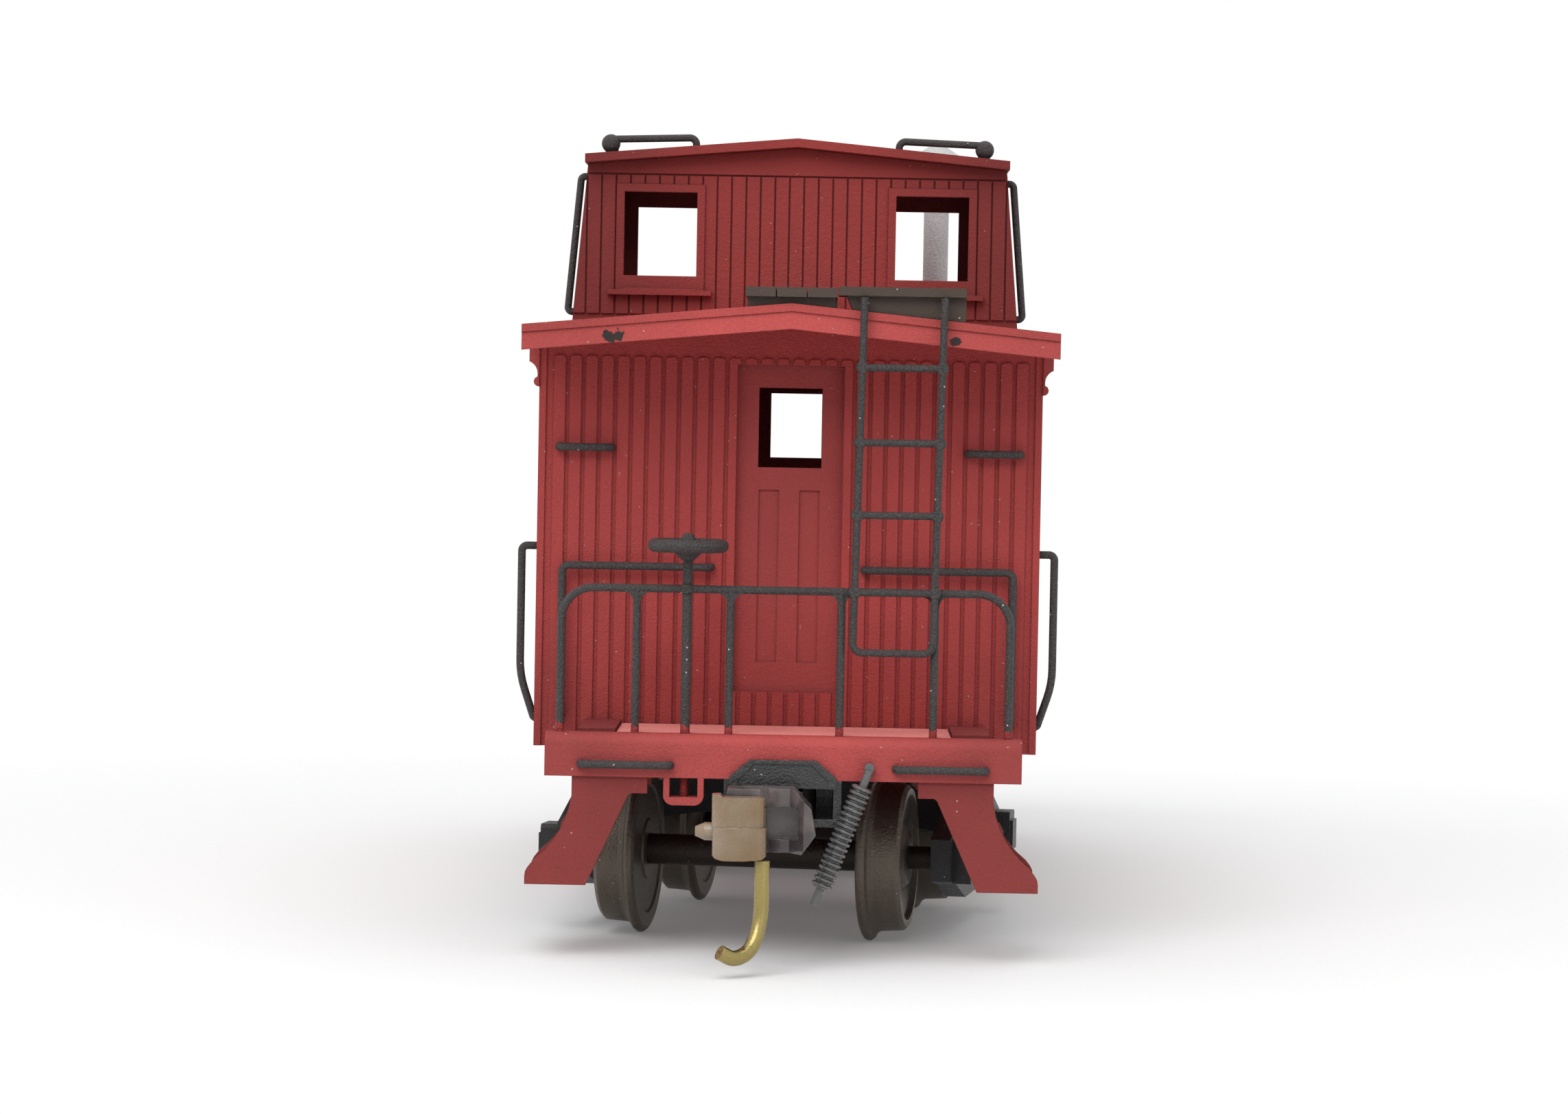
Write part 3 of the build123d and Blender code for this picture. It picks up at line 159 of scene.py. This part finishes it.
white_world(0.50)
middle = (0, -0.02, 0.025)
soft_lamp("lamp_key", (-0.14, -0.42, 0.42), 0.42, 1.95, middle)
soft_lamp("lamp_overhead", (0.0, 0.02, 0.60), 0.60, 1.15, middle)
soft_lamp("lamp_front_right", (0.30, -0.50, 0.12), 0.5, 0.22, middle)

camera_data = bpy.data.cameras.new("eye_level_camera")
camera_data.lens = 104.1
camera_data.sensor_width = 36.0
camera_data.clip_start = 0.01
camera = bpy.data.objects.new("eye_level_camera", camera_data)
turn, tip, lean = math.radians(0.431), math.radians(1.78), math.radians(1.07)
spot = Vector((1.93, -326.3, 33.9)) * MM
camera.matrix_world = (Matrix.Translation(spot) @ Matrix.Rotation(turn, 4, 'Z')
                       @ Matrix.Rotation(math.radians(90) - tip, 4, 'X')
                       @ Matrix.Rotation(lean, 4, 'Z'))
scene.collection.objects.link(camera)
scene.camera = camera

# ------------------------------------------------------------------ body walls
# Side and end walls are thin brass sheet pressed with vertical boards, soldered at the corners.
# They carry one flat coat of caboose red, thin over the edges, with painted shade in the grooves and
# towards the foot of the walls.


def group_tree(name, ins, outs):
    """A shader node group with named sockets: numbers, or colours where the default is a tuple."""
    tree = bpy.data.node_groups.new(name, 'ShaderNodeTree')
    for title, value in ins.items():
        kind = 'NodeSocketColor' if isinstance(value, tuple) else 'NodeSocketFloat'
        socket = tree.interface.new_socket(title, in_out='INPUT', socket_type=kind)
        socket.default_value = value
    for title, kind in outs.items():
        tree.interface.new_socket(title, in_out='OUTPUT', socket_type=kind)
    return tree, tree.nodes.new("NodeGroupInput"), tree.nodes.new("NodeGroupOutput")


def math_node(tree, operation, first, second):
    """One math step between two sockets or numbers."""
    node = tree.nodes.new("ShaderNodeMath")
    node.operation = operation
    for slot, value in zip(node.inputs, (first, second)):
        if isinstance(value, (int, float)):
            slot.default_value = value
        else:
            tree.links.new(value, slot)
    return node.outputs[0]


def mix_colour(tree, share, first, second):
    """Blend of two colour sockets or constants by a share."""
    node = tree.nodes.new("ShaderNodeMix")
    node.data_type = 'RGBA'
    for slot, value in ((node.inputs[0], share), (node.inputs[6], first), (node.inputs[7], second)):
        if isinstance(value, (tuple, float)):
            slot.default_value = value
        else:
            tree.links.new(value, slot)
    return node.outputs[2]


def noise_of(tree, place, scale, detail=3.0, rough=0.5):
    """Noise over the piece's own coordinates, scale in lumps per metre."""
    node = tree.nodes.new("ShaderNodeTexNoise")
    node.inputs["Scale"].default_value = scale
    node.inputs["Detail"].default_value = detail
    node.inputs["Roughness"].default_value = rough
    tree.links.new(place, node.inputs["Vector"])
    return node.outputs["Fac"]


def steps_of(tree, value, low, high):
    """Values from low to high spread over zero to one."""
    node = tree.nodes.new("ShaderNodeMapRange")
    node.interpolation_type = 'SMOOTHSTEP'
    node.inputs["From Min"].default_value = low
    node.inputs["From Max"].default_value = high
    tree.links.new(value, node.inputs["Value"])
    return node.outputs["Result"]


def paint_group():
    """Flat paint: broad patches, fine grain, rubbed edges and painted edge highlights, painted shade
    in corners and towards the sides and foot, and dust specks.
    """
    tree, given, result = group_tree(
        "paint_film",
        {"Paint": (0.5, 0.1, 0.1, 1), "Rubbed And Highlight": (0.3, 0.1, 0.08, 1), "Shade And Pits": (0.1, 0.02, 0.02, 1),
         "Edge Wear And Highlight": 0.4, "Crease Shade Share": 0.5, "Speck Share": 0.3, "Roughness": 0.7,
         "Side Shade": 0.0, "Foot Shade": 0.0, "Foot Low": 0.012, "Foot High": 0.022,
         "Grain Share": 1.0},
        {"Color": 'NodeSocketColor', "Roughness": 'NodeSocketFloat', "Height": 'NodeSocketFloat',
         "Normal": 'NodeSocketVector'})
    link = tree.links.new
    place = tree.nodes.new("ShaderNodeTexCoord").outputs["Object"]
    patches = noise_of(tree, place, 260.0, 4.0)
    grain = steps_of(tree, noise_of(tree, place, 8000.0, 2.0, 0.6), 0.28, 0.72)
    lumps = noise_of(tree, place, 2600.0, 3.0)
    shade = tree.nodes.new("ShaderNodeHueSaturation")
    light = math_node(tree, 'MULTIPLY_ADD', patches, 0.30)
    light.node.inputs[2].default_value = 0.80
    lively = math_node(tree, 'MULTIPLY_ADD', math_node(tree, 'SUBTRACT', grain, 0.5),
                       math_node(tree, 'MULTIPLY', given.outputs["Grain Share"], 0.26))
    link(light, lively.node.inputs[2])
    link(given.outputs["Paint"], shade.inputs["Color"])
    where = tree.nodes.new("ShaderNodeSeparateXYZ")
    link(place, where.inputs["Vector"])
    # Painted shade: the paint darkens towards the piece's sides in x and towards its foot in z, set
    # by Side Shade and Foot Shade.
    aside = steps_of(tree, math_node(tree, 'ABSOLUTE', where.outputs["X"], 0.0), 0.003, 0.016)
    foot = tree.nodes.new("ShaderNodeMapRange")
    link(where.outputs["Z"], foot.inputs["Value"])
    link(given.outputs["Foot Low"], foot.inputs["From Max"])
    link(given.outputs["Foot High"], foot.inputs["From Min"])
    painted_side_and_foot_shade = math_node(tree, 'ADD', math_node(tree, 'MULTIPLY', aside, given.outputs["Side Shade"]),
                     math_node(tree, 'MULTIPLY', foot.outputs["Result"], given.outputs["Foot Shade"]))
    even = math_node(tree, 'MULTIPLY', math_node(tree, 'ADD', lively, 0.05),
                     math_node(tree, 'SUBTRACT', 1.0, painted_side_and_foot_shade))
    link(even, shade.inputs["Value"])
    # Painted shade: ambient occlusion darkens corners, creases and grooves towards the shade colour;
    # the same colour marks the dark pits below.
    crease = tree.nodes.new("ShaderNodeAmbientOcclusion")
    crease.samples = 6
    crease.inputs["Distance"].default_value = 0.0009
    dark = steps_of(tree, crease.outputs["AO"], 0.95, 0.25)
    dark = math_node(tree, 'MULTIPLY', dark, given.outputs["Crease Shade Share"])
    colour = mix_colour(tree, dark, shade.outputs["Color"], given.outputs["Shade And Pits"])
    # Edge colour on a bevel mask: rubbed paint on most pieces, painted highlights on the glossy black
    # hose, coupler head and draft box.
    rounded = tree.nodes.new("ShaderNodeBevel")
    rounded.samples = 4
    rounded.inputs["Radius"].default_value = 0.00007
    flat = tree.nodes.new("ShaderNodeNewGeometry")
    facing = tree.nodes.new("ShaderNodeVectorMath")
    facing.operation = 'DOT_PRODUCT'
    link(rounded.outputs["Normal"], facing.inputs[0])
    link(flat.outputs["Normal"], facing.inputs[1])
    edge = steps_of(tree, facing.outputs["Value"], 0.995, 0.80)
    broken = steps_of(tree, lumps, 0.48, 0.70)
    wear_and_highlight_share = math_node(tree, 'MULTIPLY', math_node(tree, 'MULTIPLY', edge, broken),
                     given.outputs["Edge Wear And Highlight"])
    colour = mix_colour(tree, wear_and_highlight_share, colour, given.outputs["Rubbed And Highlight"])
    cells = tree.nodes.new("ShaderNodeTexVoronoi")
    cells.inputs["Scale"].default_value = 2300.0
    link(place, cells.inputs["Vector"])
    chance = tree.nodes.new("ShaderNodeSeparateColor")
    link(cells.outputs["Color"], chance.inputs["Color"])
    dot = steps_of(tree, cells.outputs["Distance"], 0.16, 0.08)
    pale = math_node(tree, 'MULTIPLY', dot, math_node(tree, 'GREATER_THAN', chance.outputs[0], 0.90))
    pale = math_node(tree, 'MULTIPLY', pale, given.outputs["Speck Share"])
    colour = mix_colour(tree, pale, colour, (0.75, 0.66, 0.62, 1.0))
    pit = math_node(tree, 'MULTIPLY', dot, math_node(tree, 'LESS_THAN', chance.outputs[1], 0.06))
    pit = math_node(tree, 'MULTIPLY', pit, given.outputs["Speck Share"])
    colour = mix_colour(tree, pit, colour, given.outputs["Shade And Pits"])
    link(colour, result.inputs["Color"])
    rough = math_node(tree, 'MULTIPLY_ADD', grain, 0.25)
    link(math_node(tree, 'SUBTRACT', given.outputs["Roughness"], 0.12), rough.node.inputs[2])
    link(rough, result.inputs["Roughness"])
    peel = math_node(tree, 'MULTIPLY', math_node(tree, 'MULTIPLY', grain, 0.5),
                     given.outputs["Grain Share"])
    height = math_node(tree, 'ADD', peel, math_node(tree, 'MULTIPLY', lumps, 0.9))
    link(math_node(tree, 'ADD', height, pale), result.inputs["Height"])
    link(rounded.outputs["Normal"], result.inputs["Normal"])
    return tree


paint_film = paint_group()


def painted(name, paint, rubbed_and_highlight, shade_and_pits, edge_wear_and_highlight=0.4, corners=0.5, specks=0.4, rough=0.7, bump=0.8,
            metallic=0.0, relief=0.00005, shine=0.3, side=0.0, foot=0.0, foot_z=(0.012, 0.022),
            grain=1.0, coat=0.0, cloudy=0.0):
    """Material with the shared paint film and its own colours."""
    material, tree, output = new_material(name)
    film = tree.nodes.new("ShaderNodeGroup")
    film.node_tree = paint_film
    for title, value in (("Paint", paint), ("Rubbed And Highlight", rubbed_and_highlight), ("Shade And Pits", shade_and_pits)):
        film.inputs[title].default_value = (*value, 1.0)
    for title, value in (("Edge Wear And Highlight", edge_wear_and_highlight), ("Crease Shade Share", corners), ("Speck Share", specks),
                         ("Roughness", rough), ("Side Shade", side), ("Foot Shade", foot),
                         ("Foot Low", foot_z[0]), ("Foot High", foot_z[1]),
                         ("Grain Share", grain)):
        film.inputs[title].default_value = value
    surface = tree.nodes.new("ShaderNodeBsdfPrincipled")
    surface.inputs["Metallic"].default_value = metallic
    surface.inputs["Specular IOR Level"].default_value = shine
    surface.inputs["Coat Weight"].default_value = coat
    surface.inputs["Subsurface Weight"].default_value = cloudy
    surface.inputs["Subsurface Scale"].default_value = 0.0006
    dents = tree.nodes.new("ShaderNodeBump")
    dents.inputs["Strength"].default_value = bump
    dents.inputs["Distance"].default_value = relief
    link = tree.links.new
    link(film.outputs["Height"], dents.inputs["Height"])
    link(film.outputs["Normal"], dents.inputs["Normal"])
    link(film.outputs["Color"], surface.inputs["Base Color"])
    link(film.outputs["Roughness"], surface.inputs["Roughness"])
    link(dents.outputs["Normal"], surface.inputs["Normal"])
    link(surface.outputs["BSDF"], output.inputs["Surface"])
    return material


def film_of(material):
    """The tree of a painted material, its paint film and the piece's own coordinates."""
    tree = material.node_tree
    film = next(node for node in tree.nodes if node.type == 'GROUP')
    return tree, film, tree.nodes.new("ShaderNodeTexCoord").outputs["Object"]


def finish_node(name, material):
    """Give one CAD piece its finish."""
    for socket in nodes[name].material_slots:
        socket.material = material


# foot darkens the lower walls as painted shade from the platforms; corners sets the painted shade in
# the grooves.
caboose_red = painted("caboose_red", (0.405, 0.056, 0.053), (0.24, 0.05, 0.04), (0.13, 0.018, 0.016),
                      corners=0.3, foot=0.28, bump=1.0, relief=0.00006)
for name in ("side_wall_left", "side_wall_right", "end_wall_front", "end_wall_rear"):
    finish_node(name, caboose_red)

# ------------------------------------------------------------------ doors
# Plain etched door leaves soldered in behind each doorway, with two sunk panels.
# The same red painted a little darker, as painted shade from the roof overhang.

door_red = painted("door_red", (0.35, 0.054, 0.051), (0.24, 0.05, 0.045), (0.14, 0.022, 0.02),
                   corners=0.4, specks=0.2)
finish_node("end_doors", door_red)

# ------------------------------------------------------------------ roof, fascias and cornices
# Bent roof sheet with fascia strips soldered under both ends and mouldings under the eaves.
# The end fascias stick out and take the knocks, so they are more chipped. Roof and fascias are
# lighter copies of the body red, painted light, and darken towards the sides as painted shade.



def knocked(material, spots, bare):
    """Paint knocked off in a few places, each a centre in mm and a size in mm."""
    tree, film, place = film_of(material)
    ragged = math_node(tree, 'MULTIPLY', noise_of(tree, place, 1700.0, 4.0, 0.7), 0.0012)
    colour = tuple(film.inputs["Paint"].default_value)
    for centre, size in spots:
        away = tree.nodes.new("ShaderNodeVectorMath")
        away.operation = 'DISTANCE'
        tree.links.new(place, away.inputs[0])
        away.inputs[1].default_value = Vector(centre) * MM
        reach = math_node(tree, 'ADD', away.outputs["Value"], ragged)
        share = steps_of(tree, reach, size * MM + 0.00068, size * MM + 0.0006)
        colour = mix_colour(tree, share, colour, (*bare, 1.0))
    tree.links.new(colour, film.inputs["Paint"])


dark_chip = (0.05, 0.025, 0.022)
red_shade_and_pits = (0.12, 0.018, 0.016)
# Lighter copies of the body red as painted light; side darkens them towards the ends as painted
# shade.
roof_red = painted("roof_red", (0.48, 0.073, 0.068), dark_chip, red_shade_and_pits,
                   edge_wear_and_highlight=0.9, corners=0.5, specks=0.35, side=0.2)
for name in ("main_roof", "eave_cornices"):
    finish_node(name, roof_red)
fascia_red = painted("fascia_red", (0.55, 0.086, 0.080), dark_chip, red_shade_and_pits,
                     edge_wear_and_highlight=0.9, corners=0.5, specks=0.5, side=0.2)
fascia_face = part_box("roof_end_fascias")[0][1] / MM
bare_metal = (0.035, 0.026, 0.024)
knocks = (((-11.3, fascia_face, 38.65), 0.34), ((-10.7, fascia_face, 38.75), 0.26),
          ((5.7, fascia_face, 40.2), 0.12), ((10.2, fascia_face, 38.7), 0.20))
knocked(fascia_red, knocks, bare_metal)
finish_node("roof_end_fascias", fascia_red)

# ------------------------------------------------------------------ cupola
# Four sheathed walls leaning in, a shallow peaked roof and window casings with sills.
# Sprayed with the body red, in a darker copy that is painted shade under the roof overhangs, and
# darker again towards the sides as painted shade.

cupola_red = painted("cupola_red", (0.315, 0.044, 0.040), (0.20, 0.04, 0.035), (0.10, 0.014, 0.013),
                     corners=0.5, specks=0.25, side=0.42)
for name in ("cupola_wall_front", "cupola_wall_rear", "cupola_wall_left", "cupola_wall_right",
             "cupola_roof", "cupola_window_casings"):
    finish_node(name, cupola_red)

# ------------------------------------------------------------------ end beams
# Cast end sills across the platforms, rounded along the top front edge by the casting, with
# the strap that holds the brake staff's foot. The brightest red on the car is painted light, and
# the darkening towards the ends is painted shade; the edges are a paler rubbed pink.

beam_red = painted("beam_red", (0.475, 0.076, 0.071), (0.30, 0.10, 0.08), (0.12, 0.02, 0.018),
                   edge_wear_and_highlight=0.5, specks=0.6, side=0.36)
for name in ("end_beam_front", "end_beam_rear", "brake_staff_stirrups"):
    finish_node(name, beam_red)

# ------------------------------------------------------------------ steps
# Two flat side plates joined by treads at each corner, in a darker copy of the body red that is
# painted shade under the beams; their toes are rubbed bare and dark.

step_red = painted("step_red", (0.235, 0.037, 0.034), (0.04, 0.02, 0.018), (0.09, 0.015, 0.014),
                   edge_wear_and_highlight=0.7, specks=0.5)
for name in ("steps_front_left", "steps_front_right", "steps_rear_left", "steps_rear_right"):
    finish_node(name, step_red)

# ------------------------------------------------------------------ floor and underframe
# Floor sheet, centre sill, bolsters and truss rods, painted with the body from below.
# It is given a dark, uneven red, with strong painted shade in its corners.

frame_red = painted("underframe_red", (0.24, 0.036, 0.033), (0.10, 0.05, 0.04),
                    (0.04, 0.012, 0.011), corners=0.7, specks=0.4, rough=0.8)
for name in ("floor_deck", "centre_sill", "body_bolsters", "truss_rods"):
    finish_node(name, frame_red)

# ------------------------------------------------------------------ platform boards
# Thin strips laid side by side and soldered to each platform's floor sheet.
# Painted a pale pinkish red, much lighter than the walls.

pale_deck_red = painted("pale_deck", (0.88, 0.30, 0.275), (0.80, 0.60, 0.55), (0.26, 0.06, 0.05),
                    edge_wear_and_highlight=0.6, specks=0.9, rough=0.85)
finish_node("platform_boards", pale_deck_red)

# ------------------------------------------------------------------ black wire work
# Railings, ladders, grab irons and staffs are brass wire, soldered and sprayed satin black.
# Handling has rubbed a little brass through on the edges and crossings.

satin_black = (0.068, 0.062, 0.061)
bared_brass = (0.24, 0.13, 0.06)
black_shade_and_pits = (0.014, 0.012, 0.012)
black_wire = painted("black_wire", satin_black, bared_brass, black_shade_and_pits,
                     edge_wear_and_highlight=0.8, specks=1.0, rough=0.42, corners=0.6, shine=0.15, grain=2.6)
for name in ("ladders", "end_and_beam_grab_irons", "corner_grab_irons", "side_grab_irons",
             "cupola_roof_grab_irons", "cupola_handrails", "brake_wheels"):
    finish_node(name, black_wire)

# ------------------------------------------------------------------ railings and brake staffs
# The same black wire, but brushed black by hand after the body was sprayed, so the last half
# millimetre above the beam and everything under it stayed red.


def two_colour_wire(name, upper, lower, line):
    """Black paint that stops raggedly at a height, over the red below it."""
    material = painted(name, upper, bared_brass, black_shade_and_pits, edge_wear_and_highlight=0.8, specks=1.0,
                       rough=0.42, corners=0.6, shine=0.15, grain=2.6)
    tree, film, place = film_of(material)
    where = tree.nodes.new("ShaderNodeSeparateXYZ")
    tree.links.new(place, where.inputs["Vector"])
    wave = math_node(tree, 'MULTIPLY', noise_of(tree, place, 1800.0, 2.0), 0.0009)
    edge = math_node(tree, 'SUBTRACT', where.outputs["Z"], wave)
    share = steps_of(tree, edge, line - 0.00048, line - 0.00040)
    tree.links.new(mix_colour(tree, share, (*lower, 1.0), (*upper, 1.0)), film.inputs["Paint"])
    return material


foot_red = (0.36, 0.055, 0.052)
black_stops_at = 0.01455
railing_black = two_colour_wire("railing_black", satin_black, foot_red, black_stops_at)
for name in ("end_railings", "brake_staffs"):
    finish_node(name, railing_black)

# ------------------------------------------------------------------ air hoses
# Each hose is a moulding in black plastic with close ribs, its top end pressed into the beam.
# The rib crests carry painted highlights in pale grey and the valleys painted shade.

hose_black = painted("hose_black", (0.095, 0.093, 0.092), (0.55, 0.54, 0.54), (0.004, 0.004, 0.004),
                     edge_wear_and_highlight=1.0, specks=0.6, rough=0.26, corners=0.9, grain=0.4, coat=0.5, shine=0.6)
finish_node("air_hoses", hose_black)

# ------------------------------------------------------------------ smokejack
# Turned stove pipe with a conical hood, pressed into a hole in the roof sheet.
# It is a pale grey, lightened as painted light for the washed-out look it has through the cupola
# windows.

pipe_grey = painted("smokejack_grey", (0.56, 0.545, 0.55), (0.50, 0.48, 0.47), (0.12, 0.11, 0.11),
                    specks=0.3, rough=0.6)
finish_node("smokejack", pipe_grey)

# ------------------------------------------------------------------ roof walks
# Planks glued on cleats along the roof, with a short level board out to each ladder.
# Painted flat dark grey-brown, worn paler along the planks' edges.

walk_grey = painted("roof_walk_grey", (0.076, 0.054, 0.042), (0.17, 0.15, 0.145),
                    (0.016, 0.013, 0.012), edge_wear_and_highlight=0.6, specks=0.7, rough=0.65)
for name in ("roof_walk_planks", "roof_walk_saddles", "lateral_running_boards"):
    finish_node(name, walk_grey)

# ------------------------------------------------------------------ trucks
# Side frames and bolsters are moulded black with a slight sheen; each truck swings on a
# bright machine screw driven up into the centre sill.

truck_black = painted("truck_black", (0.022, 0.021, 0.022), (0.09, 0.085, 0.08),
                      (0.006, 0.006, 0.006), specks=0.4, rough=0.42, edge_wear_and_highlight=0.5)
for name in ("front_truck_side_frames", "rear_truck_side_frames", "front_truck_bolster",
             "rear_truck_bolster"):
    finish_node(name, truck_black)
screw_steel = painted("screw_steel", (0.30, 0.29, 0.28), (0.45, 0.44, 0.42), (0.05, 0.05, 0.05),
                      rough=0.4, metallic=0.9)
finish_node("kingpin_screws", screw_steel)

# ------------------------------------------------------------------ wheels and axles
# Turned nickel wheels, chemically blackened to a warm brown-grey that has polished off
# along the flanges, pressed on dark pin-point axles.

wheel_metal = painted("blackened_wheel", (0.125, 0.105, 0.085), (0.34, 0.30, 0.24),
                      (0.03, 0.022, 0.017), edge_wear_and_highlight=0.8, specks=0.3, rough=0.40, metallic=0.65)
axle_metal = painted("dark_axle", (0.030, 0.022, 0.018), (0.10, 0.08, 0.07), (0.01, 0.008, 0.007),
                     rough=0.45, metallic=0.4)
for end in ("front", "rear"):
    for place in ("outer", "inner"):
        finish_node(f"{end}_{place}_wheels", wheel_metal)
        finish_node(f"{end}_{place}_axle", axle_metal)

# ------------------------------------------------------------------ couplers
# Draft boxes are glossy black mouldings. Head and knuckle are a smoky engineering plastic
# that light sinks into; the trip pin is a curled wire of dull olive brass.

# Painted highlights: the pale grey edge colour on the glossy box marks its lit bevels.
box_black = painted("box_black", (0.020, 0.020, 0.021), (0.20, 0.19, 0.18), (0.004, 0.004, 0.004),
                    rough=0.24, edge_wear_and_highlight=0.9, specks=0.7, coat=0.3, shine=0.5)
finish_node("coupler_boxes", box_black)


def clouded(material, other, lumps, low, high):
    """A second colour that drifts through the plastic in soft clouds."""
    tree, film, place = film_of(material)
    share = steps_of(tree, noise_of(tree, place, lumps, 2.0), low, high)
    first = tuple(film.inputs["Paint"].default_value)
    tree.links.new(mix_colour(tree, share, first, (*other, 1.0)), film.inputs["Paint"])


# Painted highlights: the pale grey edge colour on the head marks its lit bevels.
head_plastic = painted("coupler_plastic", (0.050, 0.040, 0.042), (0.40, 0.36, 0.36),
                       (0.012, 0.009, 0.010), rough=0.22, specks=0.3, edge_wear_and_highlight=1.0, grain=0.2,
                       bump=0.15, coat=0.4, shine=0.5)
clouded(head_plastic, (0.17, 0.135, 0.135), 420.0, 0.36, 0.64)
knuckle_plastic = painted("knuckle_plastic", (0.215, 0.135, 0.066), (0.62, 0.55, 0.46),
                          (0.09, 0.058, 0.030), rough=0.22, specks=0.25, edge_wear_and_highlight=0.7, grain=0.4,
                          bump=0.15, coat=0.4, cloudy=0.2)
clouded(knuckle_plastic, (0.29, 0.225, 0.160), 330.0, 0.25, 0.75)
pin_brass = painted("pin_brass", (0.30, 0.235, 0.078), (0.55, 0.47, 0.24), (0.07, 0.05, 0.018),
                    rough=0.24, metallic=0.8, specks=0.3, corners=0.9, grain=0.4, bump=0.3,
                    coat=0.4)
for end in ("front", "rear"):
    finish_node(f"coupler_{end}", head_plastic)
    finish_node(f"knuckle_{end}", knuckle_plastic)
    finish_node(f"trip_pin_{end}", pin_brass)
